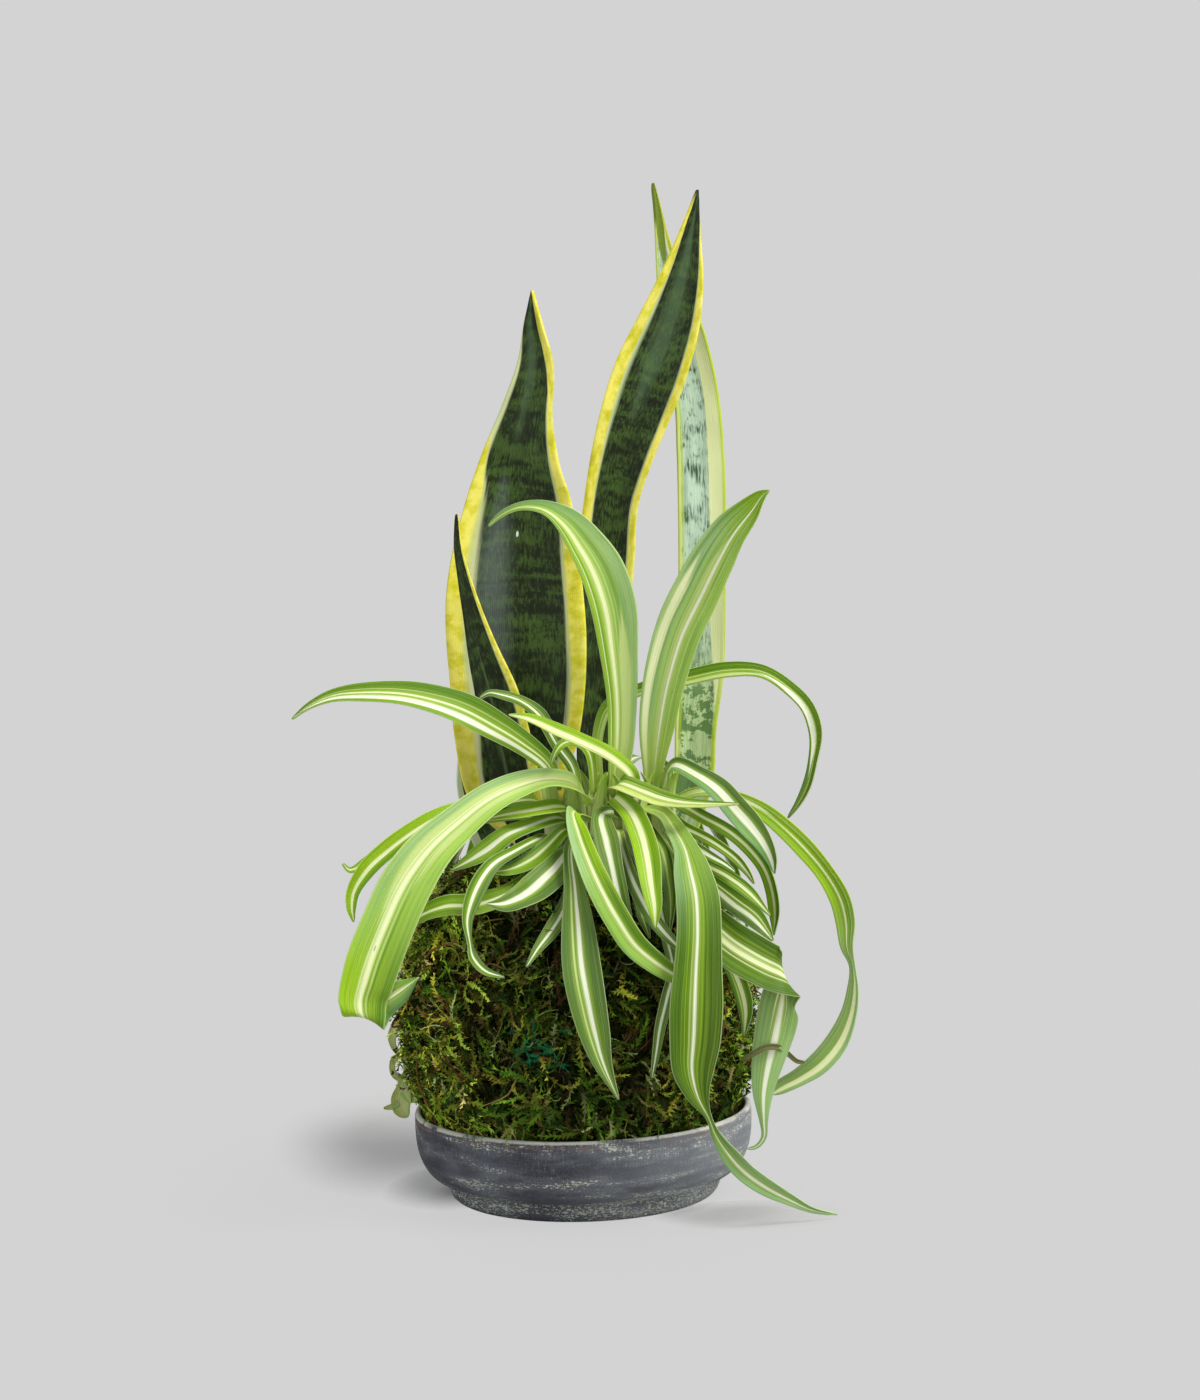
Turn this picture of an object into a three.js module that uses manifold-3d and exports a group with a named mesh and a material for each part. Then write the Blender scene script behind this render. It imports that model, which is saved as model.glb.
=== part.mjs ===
// Kokedama: a moss-wrapped soil ball in a stoneware saucer, planted with a
// snake plant behind and a clump of spider plants in front.
// Millimetres, +Z up. The origin is the centre of the saucer's flat underside,
// +X is the right of the plant and -Y is its front.
import * as THREE from 'three';
import { mergeVertices } from 'three/addons/utils/BufferGeometryUtils.js';
import Module from 'manifold-3d';

const wasm = await Module();
wasm.setup();

// ---------------------------------------------------------------- driving sizes
const TAU = Math.PI * 2;
const GAP = 0.35;                 // between pieces that touch on the real thing
const RIM_RADIUS = 75;            // the saucer is 150 mm across
const RIM_HEIGHT = 39;
const SAUCER_FLOOR = 8;
const SAUCER_FACETS = 48;
const BALL_X = -3;                // the ball sits a little left of the saucer's centre
const BALL_REST = SAUCER_FLOOR + GAP;
const BALL_MIDDLE = 75;
const MOSS_THICKNESS = 7;
const MOSS_FACETS = 64;
const MOSS_ROWS = 25;
const MOUTH_RADIUS = 38;          // the moss is open round the stems
const SOIL_TOP = 148;
const STEM_RADIUS = 4;
const STEM_FOOT = 138;            // how deep the spider plants' stems are planted
const STEM_TOP = 180;
const REAR_STEM_FOOT = 124;
const REAR_STEM_TOP = 162;
const SPIDER_THICKNESS = 0.7;
const SNAKE_THICKNESS = 1.6;
const SNAKE_TILT = 0.22;          // how far a leaning leaf's foot dips, per mm that it leans
const LEAF_TIP = 0.9;             // the narrowest that a blade's end is drawn

// ---------------------------------------------------------------- materials
function finish(color, roughness) {
  return new THREE.MeshStandardMaterial({ color, roughness, metalness: 0 });
}
const stoneware = finish(0x555962, 0.75);
const mossGreen = finish(0x4e6b12, 1.0);
const soilBrown = finish(0x33261a, 1.0);
const snakeGreen = finish(0x2c3d24, 0.45);
const spiderGreen = finish(0x7fb52a, 0.5);
const crownGreen = finish(0xb9c98a, 0.6);

const plant = new THREE.Group();
function place(name, geometry, material) {
  const mesh = new THREE.Mesh(geometry, material);
  mesh.name = name;
  plant.add(mesh);
}

// ---------------------------------------------------------------- closed solids
function toSolid(geometry) {
  const bare = geometry.clone();
  bare.deleteAttribute('normal');
  bare.deleteAttribute('uv');
  const joined = mergeVertices(bare, 1e-4);
  return new wasm.Manifold(new wasm.Mesh({
    numProp: 3,
    vertProperties: new Float32Array(joined.attributes.position.array),
    triVerts: new Uint32Array(joined.index.array),
  }));
}

function toGeometry(solid) {
  const mesh = solid.getMesh();
  const geometry = new THREE.BufferGeometry();
  geometry.setAttribute('position', new THREE.BufferAttribute(mesh.vertProperties, 3));
  geometry.setIndex(new THREE.BufferAttribute(mesh.triVerts, 1));
  geometry.computeVertexNormals();
  return geometry;
}

// A profile of [radius, height] pairs spun about +Z.
function turned(profile, facets) {
  const outline = profile.map(([radius, height]) => new THREE.Vector2(radius, height));
  return new THREE.LatheGeometry(outline, facets).rotateX(Math.PI / 2);
}

// An upright oval plug, used for stems and for the holes that they stand in.
function upright(x, y, low, high, alongX, alongY, sides = 12) {
  return new THREE.CylinderGeometry(1, 1, high - low, sides)
    .rotateX(Math.PI / 2)
    .scale(alongX, alongY, 1)
    .translate(x, y, (low + high) / 2);
}

// ---------------------------------------------------------------- saucer
// From the underside's centre out to the rim, over it, and back along the inside.
const saucerProfile = [
  [0, 0], [56, 0], [60, 2.5], [61, 6.5], [60.6, 8.5], [66, 10], [70.5, 14], [73.6, 20],
  [RIM_RADIUS, 27.5], [RIM_RADIUS, RIM_HEIGHT - 2], [RIM_RADIUS - 1, RIM_HEIGHT],
  [RIM_RADIUS - 2.8, RIM_HEIGHT], [RIM_RADIUS - 3.8, RIM_HEIGHT - 2.5],
  [70, 27], [67, 17], [61, 10.5], [54, SAUCER_FLOOR], [0, SAUCER_FLOOR],
];
place('saucer', turned(saucerProfile, SAUCER_FACETS), stoneware);

// ---------------------------------------------------------------- blades
function catmull(a, b, c, d, u) {
  return 0.5 * (2 * b + (c - a) * u + (2 * a - 5 * b + 4 * c - d) * u * u
    + (3 * b - a - 3 * c + d) * u * u * u);
}

// The value at t, from 0 to 1, of a list of numbers spread evenly along a leaf.
function along(list, t) {
  const last = list.length - 1;
  const spot = Math.min(Math.max(t, 0), 1) * last;
  const i = Math.min(Math.floor(spot), Math.max(last - 1, 0));
  const at = (k) => list[Math.min(Math.max(k, 0), last)];
  return catmull(at(i - 1), at(i), at(i + 1), at(i + 2), spot - i);
}

// A leaf blade. rows are [x, y, z, width] along its midrib, from base to tip;
// faces are the directions that its upper side looks in, spread evenly along it;
// folds give, by row, the line across the blade where it is creased; the edges
// are lifted by keel times the half width, and ripple waves them.
function blade({ rows, faces, folds = {}, steps, keel = 0.28, thickness = SPIDER_THICKNESS,
  spans = 2, ripple = 0, waves = 0 }) {
  const last = rows.length - 1;
  const points = rows.map(([x, y, z]) => new THREE.Vector3(x, y, z));
  const spine = new THREE.CatmullRomCurve3(points, false, 'centripetal');
  const sideways = rows.map((row, i) => {
    if (folds[i]) return new THREE.Vector3(...folds[i]).normalize();
    const t = i / last;
    const face = new THREE.Vector3(...[0, 1, 2].map((k) => along(faces.map((f) => f[k]), t)));
    return spine.getTangent(t).cross(face).normalize();
  });
  // one sign for all of them, so that the blade does not turn over
  for (let i = last - 1; i >= 0; i -= 1) {
    if (sideways[i].dot(sideways[i + 1]) < 0) sideways[i].negate();
  }
  const section = (t) => {
    const centre = spine.getPoint(t);
    const across = new THREE.Vector3(...['x', 'y', 'z'].map((k) => along(sideways.map((s) => s[k]), t)));
    across.normalize();
    const up = across.clone().cross(spine.getTangent(t)).normalize();
    const half = Math.max(along(rows.map((row) => row[3]), t), LEAF_TIP) / 2;
    const upper = [];
    const lower = [];
    for (let k = 0; k <= spans; k += 1) {
      const u = (2 * k) / spans - 1;
      const lift = keel * half * u * u + ripple * u * u * u * Math.sin(waves * TAU * t);
      const top = centre.clone().addScaledVector(across, u * half).addScaledVector(up, lift);
      upper.push(top);
      lower.push(top.clone().addScaledVector(up, -thickness));
    }
    return [...upper, ...lower.reverse()];
  };
  const rings = [];
  for (let i = 0; i <= steps; i += 1) rings.push(section(i / steps));
  const round = rings[0].length;
  const index = [];
  for (let i = 0; i < steps; i += 1) {
    for (let k = 0; k < round; k += 1) {
      const a = i * round + k;
      const b = i * round + ((k + 1) % round);
      // the lower face is split along the same line as the upper one
      const below = k > spans && k < round - 1;
      if (below) index.push(a, b, b + round, a, b + round, a + round);
      else index.push(a, b, a + round, b, b + round, a + round);
    }
  }
  for (let k = 0; k < spans; k += 1) {
    const [a, b, c, d] = [k, k + 1, round - 2 - k, round - 1 - k];
    const end = steps * round;
    index.push(a, c, b, a, d, c);
    index.push(end + a, end + b, end + c, end + a, end + c, end + d);
  }
  const geometry = new THREE.BufferGeometry();
  const xyz = rings.flat().flatMap((p) => [p.x, p.y, p.z]);
  geometry.setAttribute('position', new THREE.Float32BufferAttribute(xyz, 3));
  geometry.setIndex(index);
  geometry.computeVertexNormals();
  return geometry;
}

// ---------------------------------------------------------------- snake plant
// Stiff upright leaves, each planted in the soil behind the spider plants.
const SNAKE_LEAVES = [
  { // broad, left, with a wavy right edge
    faces: [[0, -1, 0.15]], ripple: 1.2, waves: 3.5,
    rows: [[-13, 22, 124, 20], [-14, 22, 155, 28], [-25, 23, 178, 44], [-25, 24, 201, 55],
      [-24, 24, 223, 60], [-24, 24, 246, 62.5], [-24, 24, 264, 61.5], [-23, 24, 284, 56.5],
      [-21, 23, 308, 47], [-20, 22, 326, 35], [-16, 22, 348, 22.5], [-12, 21, 368, 16],
      [-13, 20, 386, 8], [-13, 19, 401, 1]],
  },
  { // tall, leaning to the right
    faces: [[0.1, -1, 0.1]], ripple: 0.8, waves: 3,
    rows: [[8, 32, 124, 16], [10, 31, 154, 18], [12, 30, 191, 21], [14, 28, 222, 23],
      [15, 27, 254, 23.5], [17, 25.5, 282, 25], [20, 22.5, 307, 24], [26, 19, 329, 27.5],
      [32, 17, 346, 30.5], [39, 15, 364, 31.5], [48, 13, 386, 26.5], [54, 11, 405, 18.5],
      [59, 9, 427, 7.5], [62, 8, 442, 1]],
  },
  { // tallest, behind, with its pale back to the front
    faces: [[0, -1, 0.1]], ripple: 0.6, waves: 2,
    rows: [[32, 38, 120, 14], [44, 40, 149, 16], [54, 40, 179, 18], [56, 40, 202, 18.5],
      [59, 40, 229, 20.5], [60, 39, 261, 21], [61, 38, 297, 21.5], [61, 38, 329, 21],
      [60, 37, 351, 20], [56, 36, 374, 19], [51, 35, 396, 15], [47, 34, 418, 7.5],
      [45, 33, 436, 3], [43, 32, 448, 1]],
  },
  { // short, front left
    faces: [[0.15, -1, 0.1]],
    rows: [[-22, 10, 124, 15], [-17, 11, 152, 17], [-24, 11, 175, 20.5], [-29, 10, 200, 21.5],
      [-33, 9, 222, 19], [-38, 8, 240, 14], [-42, 7, 257, 9], [-46, 6, 276, 5], [-48, 6, 289, 3],
      [-48, 5, 303, 1]],
  },
  { // young, pale, behind the broad leaf's foot
    faces: [[0.1, -1, 0.1]],
    rows: [[-32, 41, 122, 11], [-36, 42, 142, 12.5], [-45, 43, 163, 11], [-50, 44, 179, 7],
      [-51, 44, 191, 3], [-51, 44, 199, 1]],
  },
];
SNAKE_LEAVES.forEach((leaf, i) => {
  const shape = { ...leaf, steps: Math.round(leaf.rows.length * 1.3), spans: 4,
    thickness: SNAKE_THICKNESS, keel: 0.2 };
  place(`snake_leaf_${i + 1}`, blade(shape), snakeGreen);
});

// ---------------------------------------------------------------- spider plants
// Where the stems of the clump stand, [x, y].
const STEMS = {
  a1: [-8, -20], a2: [2, -24], a3: [9, -31], b1: [18, -22], b2: [26, -29], c1: [34, -19],
  c2: [39, -28], e1: [11, -11],
};
const REAR_STEMS = { d1: [2, 52], d2: [14, 54] };

// A leaf's base lies against its stem at the given height, on the side that the
// leaf sets off to, or stands on the stem's top, clear of it by GAP at its lowest corner.
function base(stem, height, width, face, next) {
  const [x, y] = { ...STEMS, ...REAR_STEMS }[stem];
  const top = stem in STEMS ? STEM_TOP : REAR_STEM_TOP;
  if (height > top) {
    const ahead = new THREE.Vector3(next[0] - x, next[1] - y, next[2] - top).normalize();
    const across = ahead.clone().cross(new THREE.Vector3(...face)).normalize();
    const up = across.clone().cross(ahead);
    const dip = (Math.abs(across.z) * width) / 2 + Math.abs(up.z) * SPIDER_THICKNESS;
    return { root: [x, y, top + GAP + dip] };
  }
  const away = new THREE.Vector2(next[0] - x, next[1] - y).setLength(STEM_RADIUS + 2 * GAP);
  return { root: [x + away.x, y + away.y, height], clasp: [-away.y, away.x, 0] };
}
const ON_TOP = 999;

const UP_FRONT = [0, -0.8, 0.6];
const SPIDER_LEAVES = [
  { // 01 upright, arching over to the left at its tip
    from: ['b1', ON_TOP, 6], faces: [[0.1, -0.95, 0.25], [0.25, -0.8, 0.6]],
    rows: [[21, -24, 200, 11], [22, -25, 221, 13], [21, -27, 243, 17], [19, -29, 262, 20.5],
      [14, -31, 278, 20.5], [7, -33, 290, 17.5], [0, -34, 299, 13], [-9, -35, 305, 7],
      [-19, -36, 306, 4], [-27, -37, 303, 2.5], [-33, -38, 298, 1]],
  },
  { // 02 upright, leaning to the right
    from: ['c1', ON_TOP, 6], faces: [[-0.1, -0.95, 0.3], [-0.3, -0.85, 0.45]],
    rows: [[37, -25, 208, 14], [41, -28, 229, 16.5], [48, -30, 251, 18], [56, -32, 267, 18],
      [64, -34, 282, 17], [71, -36, 293, 14.5], [79, -38, 302, 10], [84, -39, 308, 4.5],
      [87, -40, 310, 1]],
  },
  { // 03 long, reaching to the left
    from: ['a1', ON_TOP, 6], faces: [UP_FRONT],
    rows: [[-10, -27, 193, 8], [-21, -37, 204, 12], [-34, -42, 213, 15], [-46, -45, 220, 15.5],
      [-59, -48, 225, 14], [-72, -50, 228, 12], [-89, -52, 229, 9], [-101, -53, 228, 6],
      [-111, -54, 224, 3], [-118, -54, 219, 1]],
  },
  { // 04 bright, crossing to the left
    from: ['b2', ON_TOP, 5], faces: [UP_FRONT],
    rows: [[26, -39, 190, 6], [17, -45, 199, 7], [5, -51, 206, 6.5], [-7, -55, 212, 6],
      [-17, -58, 217, 4], [-26, -59, 219, 1]],
  },
  { // 05 dark, short, arching to the left
    from: ['a2', ON_TOP, 5], faces: [[0.3, -0.8, 0.5]],
    rows: [[0, -30, 193, 6.5], [-7, -42, 205, 7], [-13, -48, 217, 7], [-21, -53, 224, 5],
      [-29, -56, 227, 4], [-34, -57, 228, 2.5], [-38, -58, 226, 1]],
  },
  { // 06 small, sharply bent
    from: ['a3', ON_TOP, 4], faces: [[0.5, -0.8, 0.3]],
    rows: [[8, -39, 198, 5], [5, -42, 203.5, 4.5], [0, -44, 205.5, 3.5], [-4, -46, 204.5, 3.5],
      [-7, -48, 201, 2.5], [-9, -49, 196, 1]],
  },
  { // 07 wide, drooping to the left, its end folded back
    from: ['a3', 177, 6], faces: [[0.25, -0.6, 0.75], [0.35, -0.85, 0.4], [0.4, -0.9, 0.1]],
    folds: { 12: [-0.93, -0.2, 0.3], 13: [-0.93, 0, 0.37], 14: [-0.93, 0, 0.37], 15: [-0.85, 0, 0.53] },
    rows: [[1, -42, 187, 9], [-10, -47, 190, 10], [-22, -52, 188, 12], [-35, -60, 183, 14],
      [-48, -68, 174, 16], [-60, -76, 164, 19], [-70, -83, 151, 22], [-78, -89, 135, 22.5],
      [-84, -93, 121, 23], [-87, -95, 112, 22], [-89, -96, 105, 21], [-88.5, -97, 99.5, 19],
      [-87, -95.5, 97.5, 17], [-84, -93.5, 100, 14.5], [-79, -93, 104, 12], [-73, -93, 108, 9.5],
      [-65, -93, 114, 1]],
  },
  { // 08 drooping behind it
    from: ['a1', 174, 5], faces: [[0.1, -0.7, 0.7], [0.4, -0.8, 0.4]],
    rows: [[-17, -34, 180, 6], [-31, -45, 180, 5.5], [-46, -51, 179, 6.5], [-58, -57, 176, 7],
      [-69, -61, 170, 7.5], [-79, -64, 163, 8], [-87, -67, 156, 7.5], [-93, -69, 147, 5.5],
      [-94, -70, 140, 4], [-93, -70, 134, 1]],
  },
  { // 09 thin, far left, with a curled tip
    from: ['a1', 169, 4], faces: [[0.1, -0.7, 0.7]],
    rows: [[-23, -26, 172, 4.5], [-45, -33, 171, 5], [-62, -38, 168, 5], [-77, -42, 164, 4.5],
      [-88, -45, 157, 4.5], [-96, -46, 153, 3], [-99, -46, 156, 1]],
  },
  { // 10
    from: ['a2', 174, 5], faces: [[0, -0.7, 0.7]],
    rows: [[-5, -38, 177, 8], [-14, -45, 177, 7.5], [-24, -49, 176, 7], [-32, -52, 175, 4],
      [-38, -54, 174, 1]],
  },
  { // 11
    from: ['a2', 169, 5], faces: [[0.1, -0.75, 0.65]],
    rows: [[-7, -36, 172, 7], [-18, -46, 170, 7], [-28, -52, 167, 8.5], [-37, -57, 161, 9.5],
      [-45, -61, 157, 5.5], [-52, -64, 154, 1]],
  },
  { // 12
    from: ['a2', 164, 5], faces: [[0.1, -0.8, 0.6]],
    rows: [[-4, -40, 167, 5.5], [-11, -47, 161, 7], [-19, -53, 155.5, 8], [-29, -59, 152.5, 5],
      [-37, -62, 153, 1]],
  },
  { // 13 twisted and hanging, left
    from: ['a1', 163, 4], faces: [[0.3, -0.85, 0.4], [0.7, -0.7, 0.1]],
    rows: [[-15, -43, 164, 4], [-25, -60, 161, 4.5], [-34, -71, 157, 6], [-39, -76, 151, 7.5],
      [-43, -80, 143, 7.5], [-45, -82, 135, 5], [-44, -83, 126, 2.5], [-43, -83, 120, 4.5],
      [-38, -83, 114, 3.5], [-30, -82, 111, 1]],
  },
  { // 14 wide, grey green, front left
    from: ['a2', 158, 5], faces: [[0, -0.8, 0.6]],
    rows: [[-2, -45, 158.5, 7.5], [-8, -60, 152, 13.5], [-16, -68, 146, 14], [-23, -77, 143, 11],
      [-30, -80, 141, 7], [-37, -82, 142, 1]],
  },
  { // 15 behind it, nearly level
    from: ['a1', 158, 5], faces: [[0, -0.85, 0.5]],
    rows: [[-14, -46, 152, 5.5], [-28, -58, 143, 8], [-42, -63, 139, 10], [-55, -66, 139, 9],
      [-66, -67, 135, 5.5], [-72, -67, 129, 1]],
  },
  { // 16 short, hanging
    from: ['a2', 154, 4], faces: [[0, -0.95, 0.3]],
    rows: [[0, -52, 149, 5], [-4, -66, 138, 6.5], [-10, -73, 129, 6.5], [-16, -78, 122, 4],
      [-21, -82, 115, 1]],
  },
  { // 17 hanging straight down the front
    from: ['a3', 164, 6], faces: [[0, -1, 0.1]],
    rows: [[-1, -57, 162, 6], [0, -72, 146, 9], [1, -78, 131, 13.5], [2, -84, 116, 16],
      [4, -88, 102, 15.5], [7, -90, 87, 12.5], [10, -91, 75, 7.5], [16, -92, 60, 1]],
  },
  { // 18 hanging down to the right
    from: ['a3', 170, 6], faces: [[0.1, -1, 0.2]],
    rows: [[0, -50, 176, 6.5], [2, -62, 168, 8.5], [6, -72, 157, 10], [11, -79, 146, 11],
      [17, -84, 135, 11], [24, -87, 124, 10.5], [33, -88, 116, 9], [42, -88, 110, 6],
      [51, -87, 106, 1]],
  },
  { // 19 grey with a white stripe
    from: ['b1', 170.5, 6], faces: [[0, -1, 0.2]],
    rows: [[17, -34, 173.5, 5], [12, -48, 173, 8], [14, -60, 164, 10.5], [16, -68, 154, 9], [18, -74, 144, 8.5],
      [21, -79, 133, 5.5], [25, -82, 122, 1]],
  },
  { // 20 dark, beside it
    from: ['b1', 161, 5], faces: [[0, -1, 0.2]],
    rows: [[20, -42, 160, 5], [23, -53, 153, 5.5], [26, -61, 143, 5], [28, -68, 133, 4],
      [31, -72, 124, 1]],
  },
  { // 21 bright, cream striped
    from: ['b1', 174.5, 6], faces: [[0, -1, 0.2]],
    rows: [[18, -43, 181, 7], [25, -54, 175, 9.5], [29, -63, 166, 10.5], [31, -73, 157, 10.5],
      [32, -81, 147, 8.5], [33, -86, 139, 6], [33, -89, 131, 1]],
  },
  { // 22
    from: ['b2', 169, 5], faces: [[0, -1, 0.2]],
    rows: [[31, -50, 168, 5], [37, -62, 160, 6], [39, -69, 150, 6], [40, -74, 139, 4],
      [39, -77, 127, 1]],
  },
  { // 23
    from: ['b1', 166, 5], faces: [[-0.2, -1, 0.2]],
    rows: [[21, -56, 158, 5], [25, -71, 147, 6], [31, -79, 136, 6], [37, -84, 128, 5],
      [43, -86, 122, 3], [48, -87, 118, 1]],
  },
  { // 24 thin, twisted, left of the long front leaf
    from: ['b2', 160, 5], faces: [[0.2, -1, 0.1]],
    rows: [[35, -62, 139, 4.5], [38, -74, 124, 4.5], [40, -80, 112, 4.5], [37, -84, 100, 5],
      [34, -86, 89, 4.5], [32, -87, 78, 3], [30, -88, 68, 1]],
  },
  { // 25 the long front leaf, twisting over the rim to the table
    from: ['b2', 175, 6], faces: [[0, -1, 0.2], [0, -1, 0], [0.3, -0.9, -0.3]],
    rows: [[38, -44, 174, 6], [43, -56, 168, 8], [47, -68, 161, 10], [49, -78, 153, 15],
      [51, -86, 142, 18], [51, -91, 128, 18.5], [50, -94, 114, 20], [49, -96, 100, 22],
      [48, -96, 85, 21], [47, -95, 72, 17], [49, -94, 61, 9], [53, -93, 52, 2.5],
      [56, -92, 44, 4], [62, -88, 34, 7.5], [68, -82, 26, 8], [77, -76, 18, 7.5],
      [87, -70, 11, 5], [97, -66, 5, 2.5], [108, -62, 1.6, 1]],
  },
  { // 26 white striped, right
    from: ['c2', ON_TOP, 5], faces: [[-0.1, -0.7, 0.7], [-0.5, -0.8, 0.4]],
    rows: [[43, -33, 193, 7.5], [53, -46, 190, 8], [62, -52, 184, 10], [69, -58, 176, 10.5],
      [75, -62, 169, 10.5], [80, -65, 162, 8], [83, -66, 155, 5], [84, -66, 149, 1]],
  },
  { // 27 thin, looping over to the right behind the upright leaves
    from: ['e1', ON_TOP, 5], faces: [[0.3, -0.85, 0.4], [-0.3, -0.8, 0.5], [-0.8, -0.5, 0.2]],
    rows: [[11, -9, 203, 4.5], [16, -8, 217, 5.5], [30, -8, 224, 6], [52, -10, 229, 7.5],
      [69, -12, 232, 7.5], [84, -15, 231, 6], [96, -18, 223, 6], [103, -21, 215, 6],
      [106, -24, 204, 6.5], [104, -28, 192, 5], [101, -31, 182, 5.5], [97, -33, 175, 4],
      [92, -34, 169, 1.5]],
  },
  { // 28 bright, far right, twisting back underneath
    from: ['c1', 172, 5], faces: [[-0.1, -0.7, 0.7], [-0.4, -0.9, 0.2], [-0.2, -1, 0]],
    rows: [[46, -20, 177, 5], [57, -30, 181, 5.5], [69, -41, 179, 6], [80, -46, 174, 7], [89, -51, 167, 8],
      [98, -55, 158, 8.5], [106, -58, 148, 8], [112, -61, 137, 9], [114, -63, 127, 8.5],
      [114, -65, 117, 5.5], [116, -66, 109, 2.5], [116, -67, 99, 5], [114, -68, 89, 7],
      [109, -69, 78, 9.5], [101, -70, 69, 9.5], [92, -70, 63, 7.5], [84, -70, 59, 6],
      [80, -70, 56, 2]],
  },
  { // 29 wide, front right, creased and hanging beside the rim
    from: ['c2', 154, 6],
    faces: [[-0.1, -0.75, 0.65], [-0.1, -0.75, 0.65], [-0.05, -0.85, 0.5], [0, 1, 0], [0, 1, 0], [0, 1, 0]],
    folds: { 7: [0.1, -0.4, -0.9], 8: [0.41, 0, -0.91], 9: [0.41, 0, -0.91], 10: [0.8, 0, -0.6] },
    rows: [[43, -50, 150, 6], [48, -64, 140, 10.5], [54, -75, 131, 17], [63, -83, 122.5, 20],
      [72, -88, 117, 20.5], [79, -91, 113.5, 20], [84.5, -92.5, 111, 19.5], [86.5, -91, 108.5, 19],
      [85.5, -89, 104, 18], [84, -88.5, 97, 16.5], [81, -88, 84, 14], [78, -87.5, 72, 11],
      [76, -87, 60, 7], [76, -87, 49, 3.5], [76, -87, 42, 2], [73, -87, 38, 1.5], [69, -87, 37, 1]],
  },
  { // 30 short, striped, behind it
    from: ['c2', 149, 5], faces: [[-0.1, -1, 0.1]],
    rows: [[46, -54, 142, 4], [54, -67, 127, 4.5], [63, -74, 115, 6], [68, -77, 104, 7],
      [70, -79, 94, 6], [69, -80, 83, 1]],
  },
  { // 31 to 35: narrow leaves curving down to the right
    from: ['c2', 177, 5], faces: [[-0.2, -0.8, 0.55], [-0.7, -0.7, 0.1]],
    rows: [[47, -39, 176, 5], [55, -48, 172, 5.5], [66, -53, 166, 5.5], [74, -57, 159, 5.5],
      [80, -60, 151, 5.5], [83, -62, 142, 6], [84, -64, 132, 5.5], [83, -66, 123, 1]],
  },
  {
    from: ['c2', 172.5, 4], faces: [[-0.2, -0.8, 0.55], [-0.5, -0.8, 0.2]],
    rows: [[47, -49, 168, 4.5], [56, -58, 164, 4.5], [63, -65, 160, 4], [69, -69, 155, 4],
      [73, -72, 150, 2.5], [75, -73, 146, 1]],
  },
  {
    from: ['c2', 168.5, 4], faces: [[-0.2, -0.8, 0.55]],
    rows: [[42, -52, 165.5, 3.5], [50, -64, 162, 4], [57, -71, 158, 4], [63, -76, 155, 2.5],
      [67, -78, 152, 1]],
  },
  {
    from: ['c2', 164.5, 4], faces: [[-0.2, -0.8, 0.55]],
    rows: [[46, -56, 157.5, 4], [55, -67, 154, 5], [65, -75, 149, 5.5], [73, -80, 143, 5],
      [81, -83, 134, 1]],
  },
  {
    from: ['c2', 160, 5], faces: [[-0.2, -0.85, 0.5]],
    rows: [[48, -56, 151.5, 5], [57, -66, 146, 7], [67, -73, 138, 9.5], [75, -77, 132, 8.5],
      [80, -79, 126, 4], [82, -80, 123, 1]],
  },
  { // 36 short, folded over to the right across the crown
    from: ['b1', 179, 4], faces: [[0, -0.7, 0.7]],
    rows: [[20, -46, 187, 9], [29, -52, 184, 9], [37, -56, 181, 8.5], [47, -60, 179.5, 5.5],
      [57, -62, 179, 3.5], [70, -64, 179, 1]],
  },
];

// The rear clump, which the front view hides: leaves arching out and down.
const REAR_LEAVES = [
  { from: ['d1', ON_TOP, 6], heading: 128, reach: 95, rise: 26, drop: 62, width: 13 },
  { from: ['d1', 158, 6], heading: 160, reach: 70, rise: 10, drop: 58, width: 12 },
  { from: ['d1', 152, 6], heading: 104, reach: 62, rise: 6, drop: 80, width: 13 },
  { from: ['d1', 146, 5], heading: 138, reach: 50, rise: 2, drop: 60, width: 11 },
  { from: ['d2', ON_TOP, 6], heading: 56, reach: 92, rise: 24, drop: 66, width: 13 },
  { from: ['d2', 158, 6], heading: 22, reach: 66, rise: 10, drop: 56, width: 12 },
  { from: ['d2', 152, 6], heading: 80, reach: 66, rise: 8, drop: 88, width: 14 },
  { from: ['d2', 146, 5], heading: 46, reach: 52, rise: 2, drop: 64, width: 11 },
];

// An arching leaf, from its base out along a heading in degrees, up by rise and
// then down to drop below the base.
function archedRows(start, { heading, reach, rise, drop, width }) {
  const turn = THREE.MathUtils.degToRad(heading);
  const rows = [];
  for (const [out, high, wide] of [[0.12, 0.75, 0.75], [0.3, 1, 0.9], [0.5, 0.75, 1],
    [0.7, -0.1, 1], [0.86, -1.1, 0.85], [0.96, -2.1, 0.5], [1, -3, 0.1]]) {
    const height = high > 0 ? high * rise : (-high / 3) * -drop;
    rows.push([start[0] + Math.cos(turn) * reach * out, start[1] + Math.sin(turn) * reach * out,
      start[2] + height, width * wide]);
  }
  return rows;
}

function spiderLeaf(name, leaf) {
  const [stem, height, width] = leaf.from;
  const { root, clasp } = base(stem, height, width, leaf.faces[0], leaf.rows[0]);
  const rows = [[...root, width], ...leaf.rows];
  const folds = clasp ? { 0: clasp, ...leaf.folds } : leaf.folds;
  const length = new THREE.CatmullRomCurve3(rows.map((r) => new THREE.Vector3(...r))).getLength();
  const steps = Math.max(8, Math.round(length / 11), Math.round(rows.length * 1.15));
  place(name, blade({ ...leaf, rows, folds, steps }), spiderGreen);
}

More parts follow.
